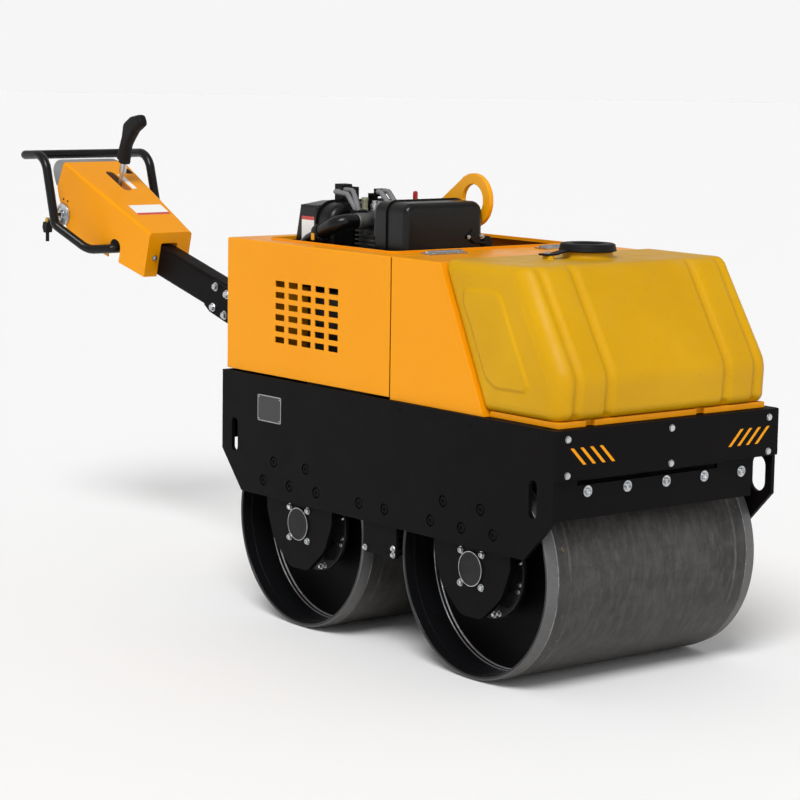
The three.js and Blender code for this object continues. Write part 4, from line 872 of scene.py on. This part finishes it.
def chassis_fasteners():
    """Screws in the side plates, and bolts across the front, the back and the scrapers."""
    sunk = both_sides([((x, 5 - PLATE_FACE, z), RIGHT) for x, z in SINKS])
    fasteners("hanger_screws", sunk, 10.2, 4.4, 28, 1.0, 0.2, 0.86, 5.4, slot="frame_black")
    along = ((75, 550), (194, 551), (309, 547), (520, 549))
    tiny = both_sides([((x, -PLATE_FACE, z), RIGHT) for x, z in along])
    fasteners("cowl_screws", tiny, 4.2, 0.5, 18, 1.3, 0.2, 0.7, 2.2, slot="frame_black")
    domes = [((582.3, y, z), AHEAD) for y in (-290, 0, 290) for z in (475, 549)]
    fasteners("face_plate_domes", domes, 6.6, 3.6, 24, 1.12, 0.5, 0.62)
    row = [((570, y, 436), AHEAD) for y in (-222, -111, 0, 111, 222)]
    fasteners("cross_plate_bolts", row, 7.4, 6.0, 24, 1.6, 1.4, 0.7, 4.0)
    back = [((-592, y, 436), BACK) for y in (-222, -130, 130, 222)]
    fasteners("rear_plate_bolts", back, 7.4, 6.0, 24, 1.6, 1.4, 0.7, 4.0)
    mount = [((-602.3, y, z), BACK) for y in (-73, 73) for z in (446, 524)]
    fasteners("mount_bolts", mount, 9.5, 6.5)
    holder = both_sides([((x, -309.7, z), RIGHT) for x, z in ((-50, 229), (49, 241), (49, 227))])
    fasteners("scraper_bolts", holder, 5.0, 4.5, 6, 1.4, 1.0)


def type_plate():
    """Blank etched plate: a bright rim round a dark field, held by a rivet at each corner."""
    def sheet(rim, low, high, radius):
        outline = oblong(-448 + rim, -357 - rim, 464 + rim, 525 - rim, radius)
        return slab(bmesh.new(), outline, "y", -PLATE_FACE - high, -PLATE_FACE - low)

    finished("type_plate", sheet(0, 0.02, 0.45, 4), "chassis", "zinc", BLANK_METAL, angle=20)
    field = sheet(2.2, 0.4, 0.55, 2.4)
    finished("type_plate_field", field, "chassis", "black_plastic", ETCHED_DARK, angle=20)
    corners = [((x, -PLATE_FACE - 0.5, z), RIGHT) for x in (-442.5, -362.5) for z in (469.5, 519.5)]
    fasteners("type_plate_rivets", corners, 1.7, 0.35, 14, 1.0, 0.05, 0.5)


def front_trim():
    """Orange stripes that fill the face plate's slanted slots."""
    inlay = bmesh.new()
    low, high, lean, width = TOP_OF_CHASSIS - 72.7, TOP_OF_CHASSIS - 37.3, 35.4, 8.6
    for hand, start in ((-1, 194.2), (1, 204.2)):
        for y in (start + 26.5 * k for k in range(4)):
            corners = [(y, high), (y + width, high), (y + width - lean, low), (y - lean, low)]
            slab(inlay, [(hand * a, b) for a, b in corners], "x", 575.5, 582.6)
    finished("stripe_inlays", inlay, "chassis", "hood_orange")


def tank_shelf():
    """Low sheet tray under the tank, set in from its edge, with two drain notches in front."""
    low, high = frame_z("tank_shelf")
    tray = box(bmesh.new(), 349, 561, -297, 297, low, high)
    notches = bmesh.new()
    for y in (-210, 104):
        box(notches, 551, 570, y - 12, y + 12, low - 1, high + 1)
    tray = carved(tray, notches)
    soften(tray, 0.9, 2, 40)
    remade("tank_shelf", "tank_tray", tray)


def frame_z(node):
    """The lowest and highest level of a CAD node, in millimetres."""
    low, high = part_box(node)
    return low[2] / MM, high[2] / MM


side_plates()
cross_plates()
chassis_fasteners()
type_plate()
front_trim()
tank_shelf()
for node, width in (("front_face_plate", 0.7), ("engine_bed", 0.9), ("scraper_holder_right", 1.0),
                    ("scraper_holder_left", 1.0), ("front_scraper", 0.8), ("rear_scraper", 0.8),
                    ("handle_mount", 1.1), ("handle_pin", 1.6)):
    softened(node, width)


# ---------------------------------------------------------------- hood and cowl, folded from sheet

FOLD = 4.0


def rounded_block(x0, x1, y, z0, z1, radius):
    """A block whose rear and top edges are rounded, as sheet folded round it would be."""
    form = box(bmesh.new(), x0, x1, -y, y, z0, z1)

    def folded(middle):
        at_back = abs(middle.x - x0) < 0.1
        at_side = abs(abs(middle.y) - y) < 0.1
        at_top = abs(middle.z - z1) < 0.1
        return (at_back and at_side) or (at_back and at_top) or (at_side and at_top)
    picked = [e for e in form.edges if folded((e.verts[0].co + e.verts[1].co) / 2)]
    bmesh.ops.bevel(form, geom=picked, offset=radius, segments=5, profile=0.5, affect="EDGES")
    return form


def louvre_tools(form):
    """Five columns and six rows of slots, through both sides of the hood."""
    for column in range(5):
        for row in range(6):
            x, z = -394.5 + column * 50.4, TOP_OF_CHASSIS + 82 + row * 25.6
            slab(form, oblong(x, x + 36, z, z + 14, 1.8, 3), "y", -330, 330)
    return form


def engine_hood():
    """Sheet over the back, the sides and the top, with louvres and a rimmed opening."""
    sheet = carved(rounded_block(-586, 27.5, 312, 572, TOP_OF_HOOD, FOLD),
                   rounded_block(-583, 60, 309, 540, TOP_OF_HOOD - 3, FOLD - 3))
    opening = oblong(-489, -28, -262, 262, 20, 10)
    sheet = carved(sheet, slab(louvre_tools(bmesh.new()), opening, "z", 860, 900))
    rim = oblong(-492, -25, -265, 265, 23, 10)
    rim = slab(bmesh.new(), rim, "z", TOP_OF_HOOD - 0.5, TOP_OF_HOOD + 5)
    rim = carved(rim, slab(bmesh.new(), opening, "z", 860, 900))
    soften(rim, 0.9, 2, 40)
    soften(sheet, 0.5, 1, 50)
    absorb(sheet, rim)
    remade("engine_hood", "hood_sheet", sheet)


def front_cowl():
    """Fixed sheet between the hood and the tank, with a flange round its slanted front."""
    outline = [(32.5, COWL_FOOT), (345, COWL_FOOT), (195, TOP_OF_HOOD), (32.5, TOP_OF_HOOD)]
    solid = slab(bmesh.new(), outline, "y", -312, 312)
    hollow = slab(bmesh.new(), oblong(0, 460, 540, 874), "y", -309, 309)
    for form, y, z, radius in ((solid, 312, TOP_OF_HOOD, FOLD), (hollow, 309, 874, FOLD - 3)):
        picked = []
        for edge in form.edges:
            at_fold = all(abs(abs(v.co.y) - y) < 0.1 and abs(v.co.z - z) < 0.1 for v in edge.verts)
            if at_fold and abs(edge.verts[0].co.y - edge.verts[1].co.y) < 1:
                picked.append(edge)
        bmesh.ops.bevel(form, geom=picked, offset=radius, segments=5, profile=0.5, affect="EDGES")
    sheet = carved(solid, hollow)
    soften(sheet, 0.5, 1, 50)
    flange = bmesh.new()  # turned inward along the slanted front edge
    edge = [(341.6, COWL_FOOT), (344.6, COWL_FOOT), (195.1, 876), (192.1, 876)]
    slab(flange, edge, "y", -309.5, -262)
    slab(flange, edge, "y", 262, 309.5)
    slab(flange, [(216.3, 826), (219.3, 826), (195.1, 876), (192.1, 876)], "y", -262.5, 262.5)
    absorb(sheet, flange)
    remade("front_cowl", "cowl_sheet", sheet)


def hinge_screws():
    """Three screws in each leaf of both hinges."""
    for name, body, x in (("cowl", "chassis", 42.5), ("hood", "hood", 17.5)):
        places = [((x, y, 880.3), UP) for y in (-202, -165, -128, 128, 165, 202)]
        fasteners(name + "_hinge_screws", places, 4.2, 1.6, 20, 1.1, 0.2, 0.6, 1.9, body)


engine_hood()
front_cowl()
hinge_screws()
for side in ("right", "left"):
    softened("cowl_hinge_" + side, 0.5)
    softened("hood_hinge_" + side, 0.5)


# ---------------------------------------------------------------- water tank

TANK_MIDDLE = Vector((392, 728))
TANK_HALF_WIDTH, TANK_SOFTNESS = 305, 44
RAISED_PANEL = [(268, 827, 12), (375, 828, 30), (477, 646, 12), (466, 632, 8), (375, 631, 20),
                (343, 651, 20), (297, 747, 30), (268, 798, 20)]
PANEL_RISE, PANEL_SLOPE = 4.4, 4.5
CHANNELS = ((169, 20, 7.0), (257, 18, 7.0))  # distance from the middle plane, half width, depth


def lean(z):
    """How far back the cowl's slanted edge has come at that level."""
    return (z - COWL_FOOT) * 150 / (TOP_OF_HOOD - COWL_FOOT)


def tank_back(z):
    """How far forward the tank starts at that level, just clear of the cowl."""
    return 346.8 - lean(z)


TANK_CORNERS = [(tank_back(580), 580, 10), (570, 580, 24), (577, 671, 70), (449, 884, 36),
                (tank_back(884), 884, 10)]
# Rounding of each side into the flank: bottom, foot, brow, top and back.
TANK_ROUNDINGS = [18, TANK_SOFTNESS, TANK_SOFTNESS, 24, 12]


def tank_section(inset):
    """The tank's side view where it is that far in from its flank, as (point, inward normal) once round."""
    sides = []
    for k, (x, z, radius) in enumerate(TANK_CORNERS):
        start, stop = Vector((x, z)), Vector(TANK_CORNERS[(k + 1) % 5][:2])
        along = (stop - start).normalized()
        big = TANK_ROUNDINGS[k]
        sink = big - math.sqrt(big ** 2 - (big - inset) ** 2) if inset < big else 0
        sides.append((start + Vector((-along.y, along.x)) * sink, along, sink / big))
    corners = []
    for k in range(5):
        (p, along, gone), (q, other, lost) = sides[k - 1], sides[k]
        reach = (q - p).cross(other) / along.cross(other)
        meet = p + along * reach
        corners.append((meet.x, meet.y, TANK_CORNERS[k][2] * (1 - 0.55 * max(gone, lost))))
    arcs = rounded(corners, 9)
    points = []
    for k in range(5):
        arc = [Vector(point) for point in arcs[k * 10:k * 10 + 10]]
        following = Vector(arcs[(k * 10 + 10) % 50])
        steps = (36, 8, 24, 36, 44)[k]
        points.extend(arc[:-1])
        points.extend(arc[-1].lerp(following, step / steps) for step in range(steps))
    section = []
    for k, point in enumerate(points):
        along = (points[(k + 1) % len(points)] - points[k - 1]).normalized()
        section.append((point, Vector((-along.y, along.x))))
    return section


def flank(x, z):
    """How far out the tank's side lies there: it leans in with height, more so further forward."""
    return TANK_HALF_WIDTH - 0.03 * (z - 580) * (0.2 + 0.8 * gentle(x + lean(z), 360, 540))


def crown(x, z):
    """How far the side bulges there."""
    front = 577 - max(z - 671, 0) * 128 / 213
    back = 347 - lean(z)
    along = max(0, 1 - ((x - (front + back) / 2) * 2 / (front - back)) ** 2)
    return 2.6 * along * max(0, 1 - ((z - 732) / 152) ** 2)


def gentle(value, low, high):
    """0 below low, 1 above high, and an S-shaped slope between them."""
    share = min(max((value - low) / (high - low), 0), 1)
    return share * share * (3 - 2 * share)


def inside_depth(point, outline):
    """How far the point lies inside the outline; negative outside."""
    nearest, inside = 1e9, False
    for first, last in zip(outline, outline[1:] + outline[:1]):
        edge = last - first
        share = min(max((point - first).dot(edge) / edge.length_squared, 0), 1)
        nearest = min(nearest, (point - first - edge * share).length)
        if (first.y > point.y) != (last.y > point.y):
            inside ^= point.x < first.x + (point.y - first.y) / (last.y - first.y) * (last.x - first.x)
    return nearest if inside else -nearest


def tank_stations():
    """Cuts across the tank, from its right flank to its left, closer at the roundings and channels."""
    insets = [TANK_SOFTNESS * (1 - math.cos(math.pi / 2 * k / 15)) for k in range(16)]
    while insets[-1] < TANK_HALF_WIDTH - 1:
        reach = TANK_HALF_WIDTH - insets[-1]
        near = any(abs(reach - place) < half + 6 for place, half, depth in CHANNELS)
        insets.append(min(insets[-1] + (2.6 if near else 9), TANK_HALF_WIDTH))
    right = [-(TANK_HALF_WIDTH - inset) for inset in insets]
    return right + [TANK_HALF_WIDTH - inset for inset in reversed(insets[:-1])]


def tank_ring(form, station):
    """The tank's section at that cut, sunk in where a channel runs down its front."""
    ring = []
    for place, inward in tank_section(TANK_HALF_WIDTH - abs(station)):
        y = station * flank(place.x, place.y) / TANK_HALF_WIDTH
        front = gentle(-inward.x, 0.1, 0.6)
        for middle, half, depth in CHANNELS:
            off = abs(abs(y) - middle)
            if off < half:
                place = place + inward * depth * front * math.cos(math.pi / 2 * off / half) ** 2
        ring.append(form.verts.new((place.x, y, place.y)))
    return ring


def tank_flank(form, hand, ring, rises):
    """Closes one side with rings that shrink to the flank's middle, lifted over the panel."""
    panel = [Vector(corner) for corner in rounded(RAISED_PANEL, 6)]
    edge = [Vector((v.co.x, v.co.z)) for v in ring]
    around, steps = len(ring), 56
    before = ring
    for step in range(1, steps):
        share = 1 - step / steps
        current = []
        for k, corner in enumerate(edge):
            place = TANK_MIDDLE + (corner - TANK_MIDDLE) * share
            if (step, k) not in rises:
                depth = inside_depth(place, panel)
                rises[step, k] = PANEL_RISE * gentle(depth, -PANEL_SLOPE, PANEL_SLOPE)
            y = flank(*place) + crown(*place) + rises[step, k]
            current.append(form.verts.new((place.x, hand * y, place.y)))
        for k in range(around):
            form.faces.new((before[k - 1], before[k], current[k], current[k - 1]))
        before = current
    y = flank(*TANK_MIDDLE) + crown(*TANK_MIDDLE) + PANEL_RISE
    middle = form.verts.new((TANK_MIDDLE.x, hand * y, TANK_MIDDLE.y))
    for k in range(around):
        form.faces.new((before[k - 1], before[k], middle))


def water_tank():
    """Rotomoulded tank: crowned flanks with a raised panel, soft channels down the front, and its neck."""
    form = bmesh.new()
    rings = [tank_ring(form, station) for station in tank_stations()]
    for first, last in zip(rings, rings[1:]):
        for k in range(len(first)):
            form.faces.new((first[k - 1], first[k], last[k], last[k - 1]))
    rises = {}
    for hand, ring in ((-1, rings[0]), (1, rings[-1])):
        tank_flank(form, hand, ring, rises)
    bmesh.ops.recalc_face_normals(form, faces=form.faces)
    neck = [(0, 897.9), (51, 897.9), (53.4, 896.6), (54, 894), (54, 890), (55.5, 886.5), (60, 884.6),
            (66, 884), (66, 880), (0, 880)]
    boss = [(0, 892), (10.6, 892), (12, 890.6), (12, 887), (14, 884.6), (18, 884), (18, 880), (0, 880)]
    fitting = lathe(bmesh.new(), neck, 72, (312, 0, 0), "z")
    lathe(fitting, boss, 32, (312, -112, 0), "z")
    remade("water_tank", "water_tank_moulded", absorb(form, fitting), angle=180)


def filler_cap():
    """Dished rubber cap, its strap to the boss and its finger tab."""
    low, high = 898.3, 914.3
    profile = [(0, high - 6), (27, high - 6), (31, high - 5), (34, high - 1.4), (36, high), (56, high),
               (59, high - 1.8), (60.2, high - 7), (60.6, low + 5), (62, low + 3), (62, low + 1),
               (61, low), (0, low)]
    form = lathe(bmesh.new(), profile, 72, (312, 0, 0), "z")
    run = [(-130, 892.3, 1.2), (-98, 892.3, 6), (-66, 898.4, 6), (-54, 898.4),
           (-54, 902.6), (-66, 902.6, 6), (-98, 896.5, 6), (-130, 896.5, 1.2)]
    strap = slab(bmesh.new(), rounded(run, 4), "x", 301, 323)
    slab(strap, rounded([(303, 54), (321, 54), (321, 74, 7), (303, 74, 7)], 5), "z", 899.3, 904.3)
    soften(strap, 0.8, 2, 50)
    absorb(form, strap)
    remade("filler_cap", "filler_lid", form, angle=50)
    fasteners("strap_screw", [((312, -114, 896.5), UP)], 5.0, 3.4, 20, 1.4, 0.8, 0.6, 2.4)


water_tank()
filler_cap()


# ---------------------------------------------------------------- engine

def drawn_half(form, x_seam, x_end, y0, y1, z0, z1, corner, radius):
    """Half of a deep-drawn shell: straight from its seam, then rounded into its end."""
    way = 1 if x_end > x_seam else -1
    stations = [(x_seam, 0.0)]
    for k in range(7):
        turn = math.pi / 2 * k / 6
        stations.append((x_end - way * radius * (1 - math.sin(turn)), radius * (1 - math.cos(turn))))
    rings = []
    for x, inset in stations:
        points = oblong(y0 + inset, y1 - inset, z0 + inset, z1 - inset, max(corner - inset, 3), 8)
        rings.append([(x, p[0], p[1]) for p in points])
    return loft(form, rings)


def seam_lip(form, x, y0, y1, z0, z1, corner, lip):
    """The flange where two drawn halves meet."""
    outline = oblong(y0 - lip, y1 + lip, z0 - lip, z1 + lip, corner + lip, 8)
    slab(form, outline, "x", x - 1.5, x + 1.5)


def fuel_tank():
    """Two drawn halves with their seam, a pipe and its tap."""
    form = bmesh.new()
    drawn_half(form, -105, -36, -219, 3, 790, 984, 26, 15)
    drawn_half(form, -105, -155, -219, 3, 790, 984, 26, 12)
    seam_lip(form, -105, -219, 3, 790, 984, 26, 4)
    remade("fuel_tank", "fuel_tank_drawn", form)
    run = bend([(-32.6, -42, 905), (-32.6, -26, 893, 9), (-32.6, 6, 890)], 6)
    pipe = tube(bmesh.new(), run, 3.4, 16)
    lever = [Vector((-32, -40, 905)), Vector((-31.5, -34, 914)), Vector((-31, -27, 922))]
    tube(pipe, lever, [2.2, 1.7, 1.5], 12)
    finished("fuel_pipe", pipe, "chassis", "black_plastic")
    fasteners("fuel_pipe_screw", [((-31.5, -44, 905), AHEAD)], 3.6, 2.4, 18, 1.3, 0.8, 0.6)


def muffler():
    """A drawn front half on a pressed back, with a blank label."""
    form = bmesh.new()
    drawn_half(form, -388, -336, -200, 40, 765.3, 966, 45, 18)
    seam_lip(form, -388, -200, 40, 765.3, 966, 45, 5)
    outline = [(-473, 765.3), (-387, 765.3), (-387, 966), (-455, 966), (-455, 958), (-473, 878)]
    back = slab(bmesh.new(), outline, "y", -200, 40)
    slope = [(-230, 954), (-140, 966.02), (-140, 990), (-230, 990)]
    back = carved(back, slab(bmesh.new(), slope, "x", -500, -380))
    soften(back, 7.0, 4, 25)
    absorb(form, back)
    remade("muffler", "muffler_pressed", form)
    label = slab(bmesh.new(), oblong(-446, -399, 867, 932, 2), "y", -200.5, -199.9)
    finished("muffler_label", label, "chassis", "black_gloss", BLANK_WHITE)
    band = slab(bmesh.new(), oblong(-446, -399, 924, 932), "y", -200.65, -200.45)
    finished("muffler_label_band", band, "chassis", "black_gloss", BAND_RED)


def cylinder_head():
    """Finned head under a rocker cover, with the port, a fuel filter and a breather."""
    form = bmesh.new()
    layers = [(915.3, 919.5, 0), (921.5, 924, 0), (926, 928.5, 0),
              (919.5, 921.5, 5), (924, 926, 5), (928.5, 931, 5)]
    for low, high, inset in layers:
        outline = oblong(-335.7 + inset, -215 - inset, -130 + inset, 60 - inset, 8, 4)
        slab(form, outline, "z", low, high)
    cover = slab(bmesh.new(), oblong(-331, -220, -125, 55, 14), "z", 931, 947)
    soften(cover, 3.5, 3, 50)
    absorb(form, cover)
    port = [(0, -178), (17, -178), (19, -176), (19, -132), (24, -130.3), (24, -126), (0, -126)]
    lathe(form, port, 32, (-271, 0, 929))
    remade("cylinder_head", "head_casting", form)
    fasteners("head_bolts", [((x, y, 947), UP) for x in (-324, -228) for y in (-60, 47)], 5.5, 5.0)
    port_bolts = ((-297, 946.5), (-247, 946), (-290, 900), (-240, 897))
    fasteners("port_bolts", [((x, -131, z), RIGHT) for x, z in port_bolts], 5.6, 5.0)
    bowl = [(0, 980), (6.6, 980), (8, 978), (8, 972), (7, 971), (7, 955), (8, 954), (8, 947), (0, 947)]
    bowl = lathe(bmesh.new(), bowl, 28, (-314, -119, 0), "z")
    finished("fuel_filter", bowl, "chassis", "alloy", FILTER_BOWL)
    breather = [(0, 974), (6, 974), (8, 972), (8, 967), (11, 965), (11, 958), (9.5, 957), (9.5, 955),
                (11, 954), (11, 947), (0, 947)]
    breather = lathe(bmesh.new(), breather, 28, (-286, -110, 0), "z")
    finished("breather", breather, "chassis", "zinc")


def cooling_fins():
    """Thin plates stacked round the upper block."""
    sizes = {"Count": 14, "Pitch": 0.01, "Finish": None}
    t = Tree("fin_stack", sizes)
    rise = t.add("ShaderNodeCombineXYZ", {"Z": t.given["Pitch"]})[0]
    line = t.add("GeometryNodeMeshLine", {"Count": t.given["Count"], "Offset": rise}, mode="OFFSET")[0]
    t.ends(t.add("GeometryNodeInstanceOnPoints", {"Points": line, "Instance": t.given["Geometry"]})[0])
    form = slab(bmesh.new(), oblong(-335, -202.5, -135, 65, 9, 4), "z", 772, 775)
    bmesh.ops.scale(form, vec=(MM, MM, MM), verts=form.verts)
    sizes["Finish"] = FINISHES["alloy"]
    made = grown(shown("fin", as_mesh("fin", form)), t, sizes)
    dressed("cooling_fins", made, "chassis", "alloy")


def exhaust_duct():
    """Elbow and falling duct with a clamp where they meet, and the clamp's tag."""
    form = bmesh.new()
    elbow = bend([(-271, -178.3, 929), (-271, -222, 929, 26), (-345, -222, 900)], 10)
    sizes = [18.0] * (len(elbow) - 1) + [16.5]
    tube(form, elbow, sizes, 32)
    tube(form, bend([(-345, -222, 900), (-405, -222, 876, 80), (-440, -222, 820)], 10), 12.5, 28)
    remade("exhaust_pipe", "duct", form, FINISHES["black_gloss"])
    clamp = bmesh.new()
    start, stop = Vector((-338, -222, 902.5)), Vector((-354, -222, 896.5))
    tube(clamp, [start, start.lerp(stop, 0.12), start.lerp(stop, 0.88), stop], [19.5, 20.9, 20.9, 19.5], 36)
    finished("duct_clamp", clamp, "chassis", "cast_steel")
    tag = slab(bmesh.new(), oblong(-352, -341, 884, 900, 2), "y", -243.4, -241.6)
    soften(tag, 0.4)
    finished("clamp_tag", tag, "chassis", "bracket_yellow")


def conduits():
    """Five ribbed hoses and their two clips."""
    rear = [bend([(-408, -120.3, 988), (-408, -135, 988, 8), (-354, -139, 985, 20), (-310, -150, 956, 14),
                  (-308, -150, 949)]),
            bend([(-397.7, -113, 992), (-368, -113, 992, 30), (-310, -145, 968, 20), (-295, -150, 949)])]
    front = [bend([(-295.7, -97, 993), (-284, -97, 993, 8), (-246, -102, 969, 14), (-243, -102, 950)]),
             bend([(-295.7, -80, 994), (-276, -80, 994, 14), (-226, -98, 970, 12), (-223, -100, 950)]),
             bend([(-250, -108, 952), (-252, -121, 973, 9), (-242, -139, 957, 9), (-242, -139, 925, 40),
                   (-246, -136.5, 897)])]
    for end, runs in (("rear", rear), ("front", front)):
        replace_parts(ribbed(end + "_hoses", runs, "chassis", "grey_plastic", 6.2), end + "_conduits")
    clips = bmesh.new()
    box(clips, -318, -288, -157, -130.3, 943, 952)
    box(clips, -258, -216, -117, -92, 947.3, 955)
    soften(clips, 1.5)
    finished("hose_clips", clips, "chassis", "grey_plastic", FINISHES["black_plastic"])


fuel_tank()
muffler()
cylinder_head()
cooling_fins()
exhaust_duct()
conduits()
for node, width in (("engine_block", 4.0), ("fuel_tank_bracket", 0.9), ("fuel_cock", 1.2),
                    ("relay_box", 1.0), ("engine_bracket", 0.8), ("stop_lever", 1.4), ("lifting_eye", 1.6)):
    softened(node, width)
fasteners("relay_screws", [((-414, -120, 985), RIGHT)], 3.4, 2.0, 20, 1.2, 0.5, 0.6)
fasteners("cock_screw", [((-36, -2, 905), AHEAD)], 4.5, 5.0, 6, 1.3, 0.8)


# ---------------------------------------------------------------- handle

CONSOLE_TOP = HANDLE @ Matrix.Translation((-0.671, 0, 0.078)) @ Matrix.Rotation(math.radians(9.3), 4, "Y")


def handlebar():
    """One tube bent into a hoop, the same on both sides."""
    half = [(-808, 25.3, -10), (-808, 83, -10, 18), (-880, 112, -36, 60), (-972.5, 165, 4.5, 25),
            (-1071.5, 164, 170, 55), (-1188, 164, 133, 28)]
    other = [(x, -y, z, *more) for x, y, z, *more in reversed(half)]
    bar = tube(bmesh.new(), bend([*half, *other], 14), 12, 28)
    remade("handlebar", "handlebar_tube", bar, FINISHES["black_gloss"], HANDLE)


def film(name, x0, x1, y0, y1, low, high, finish, radius=2.0):
    """A label on the console's top, given along and across it."""
    form = slab(bmesh.new(), oblong(x0, x1, y0, y1, radius), "z", low, high)
    finished(name, form, "handle", "hood_orange", finish, CONSOLE_TOP)


def console_trim():
    """Blank labels on the console, and the bolts of its plates."""
    film("console_label", -155.7, -101, -41.5, 59, -0.1, 0.35, BLANK_WHITE)
    film("console_label_band", -112, -101, -41.5, 59, 0.3, 0.5, BAND_RED, 0.4)
    film("lever_scale", -334, -250, 27, 41, -0.1, 0.4, BLANK_WHITE)
    film("console_plate", -364.6, -338, 61, 80, -0.1, 0.9, FINISHES["black_plastic"])
    along = ((-393.7, 25.9), (-391.7, -28.5), (-341.7, 23.3), (-338.1, -31.0))
    plates = both_sides([((x, -33.3, z), RIGHT) for x, z in along])
    fasteners("fishplate_bolts", turned_by(HANDLE, plates), 9.0, 6.5, 6, 1.25, 1.4, body="handle")
    front = [((-671, y, 8.6), AHEAD) for y in (-40.3, 40.3)]
    fasteners("console_bolts", turned_by(HANDLE, front), 5.6, 5.2, 24, 1.35, 1.0, 0.7, 3.0, "handle")
    holes = [((x, -98.2 + (x + 1079) * 0.0782, 48), (0.078, -1, 0)) for x in (-1056, -1037)]
    rivets = turned_by(HANDLE, holes)
    fasteners("console_rivets", rivets, 2.6, 0.6, 16, 1.1, 0.1, 0.6, body="handle", slot="frame_black")


def throttle():
    """Quadrant with its hub and a bent lever that ends in a knob."""
    skew = Matrix.Rotation(math.radians(4.47), 4, "Z")
    place = HANDLE @ Matrix.Translation((-1.047, -0.09551, 0.008)) @ skew
    plate = [(0, -14), (9, -14), (11, -12.5), (11, -5), (13, -4), (23, -3.2), (24, -3.4), (24.4, -6),
             (29, -6), (30, -5), (30, 0), (0, 0)]
    remade("throttle_dial", "throttle_quadrant", lathe(bmesh.new(), plate, 64), place=place)
    run = bend([(-1047, -110.1, 8), (-1047, -124, 8, 6), (-1074, -124, -32)], 6)
    form = tube(bmesh.new(), run, 4.5, 18)
    knob = [(-1084, -23, 4), (-1084, -40, 4), (-1074, -52, 4), (-1064, -49, 4), (-1064, -23, 4)]
    knob = slab(bmesh.new(), rounded(knob, 5), "y", -134, -114)
    soften(knob, 3.0, 3, 40)
    absorb(form, knob)
    tube(form, [Vector((-1074, -124, -36)), Vector((-1065, -124, -74))], 5.0, 18)
    remade("throttle_lever", "throttle_arm", form, place=HANDLE)
    stub = tube(bmesh.new(), [Vector((-1079.2, -124, -24)), Vector((-1079.4, -124, -12.5))], [6.2, 5.6], 20)
    finished("throttle_stub", stub, "handle", "zinc", BRASS, HANDLE)


def travel_lever():
    """Rod with a sleeve under its grip."""
    points = [Vector((-971.3, 15, 41)), Vector((-964, 15, 110)), Vector((-957, 15, 178))]
    remade("travel_lever", "lever_rod", tube(bmesh.new(), points, 6.0), place=HANDLE)
    sleeve = lathe(bmesh.new(), [(6.1, 150), (8.5, 150), (9.5, 151.5), (9.5, 176), (6.1, 176)], 28,
                   (-959.5, 15, 0), "z")
    finished("lever_sleeve", sleeve, "handle", "zinc", None, HANDLE)


handlebar()
console_trim()
throttle()
travel_lever()
softened("lever_grip", 1.6, 3, 18, 30)
melted("console_back_panel", 1.8, 4)
softened("console_cover", 0.5, 1, 45)
softened("arm_tube", 0.5, 1, 50)
for side in ("right", "left"):
    softened("arm_fishplate_" + side, 1.0, 2, 40)


# ---------------------------------------------------------------- studio

def camera():
    """Long lens from the front right, a little above the hood."""
    place = Vector((4.3983, -3.7653, 1.3403))
    turn, drop, roll = math.radians(51.4295), math.radians(7.9137), math.radians(0.8433)
    right = Vector((math.cos(turn), math.sin(turn), 0))
    ahead = Vector((-math.sin(turn) * math.cos(drop), math.cos(turn) * math.cos(drop), -math.sin(drop)))
    up = right.cross(ahead)
    side = math.cos(roll) * right + math.sin(roll) * up
    top = math.cos(roll) * up - math.sin(roll) * right
    data = bpy.data.cameras.new("camera")
    data.sensor_width = 36
    data.lens = 116.914
    data.clip_end = 60
    made = shown("camera", data)
    made.matrix_world = Matrix((
        (side.x, top.x, -ahead.x, place.x),
        (side.y, top.y, -ahead.y, place.y),
        (side.z, top.z, -ahead.z, place.z),
        (0, 0, 0, 1)))
    bpy.context.scene.camera = made


def soft_light(name, place, target, size, power):
    """A rectangular lamp at the place, turned to the target."""
    data = bpy.data.lights.new(name, "AREA")
    data.shape = "RECTANGLE"
    data.size, data.size_y = size
    data.energy = power
    made = shown(name, data)
    made.location = place
    made.rotation_euler = (Vector(target) - Vector(place)).to_track_quat("-Z", "Y").to_euler()


def studio():
    """Pale floor, a sky that dims with height, a broad sun and one soft light in front."""
    half = 80
    mesh = bpy.data.meshes.new("floor")
    corners = [(-half, -half, 0), (half, -half, 0), (half, half, 0), (-half, half, 0)]
    mesh.from_pydata(corners, [], [(0, 1, 2, 3)])
    floor = shown("floor", mesh)
    f = Finish("floor_paint", Roughness=0.8)
    f.set("Base Color", f.mixed(f.noise(0.6), rgb(248, 248, 248), rgb(247, 247, 247)))
    mesh.materials.append(f.material)
    world = bpy.data.worlds.new("studio")
    world.use_nodes = True
    nodes, links = world.node_tree.nodes, world.node_tree.links
    height = nodes.new("ShaderNodeSeparateXYZ")
    rise = nodes.new("ShaderNodeMapRange")
    for socket, value in (("From Min", 0.04), ("From Max", 0.4), ("To Min", 0.92), ("To Max", 0.45)):
        rise.inputs[socket].default_value = value
    links.new(nodes.new("ShaderNodeTexCoord").outputs["Generated"], height.inputs[0])
    links.new(height.outputs["Z"], rise.inputs["Value"])
    links.new(rise.outputs["Result"], nodes["Background"].inputs["Strength"])
    nodes["Background"].inputs["Color"].default_value = (1, 1, 1, 1)
    bpy.context.scene.world = world
    sun = bpy.data.lights.new("sun", "SUN")
    sun.energy = 2.3
    sun.angle = math.radians(26)
    made = shown("sun", sun)
    made.rotation_euler = Vector((-0.42, 0.5, -0.75)).to_track_quat("-Z", "Y").to_euler()
    soft_light("front", (5.5, -2.0, 2.4), (0.2, 0, 0.5), (2.0, 2.0), 14)


camera()
studio()
bpy.context.scene.view_settings.view_transform = "Standard"
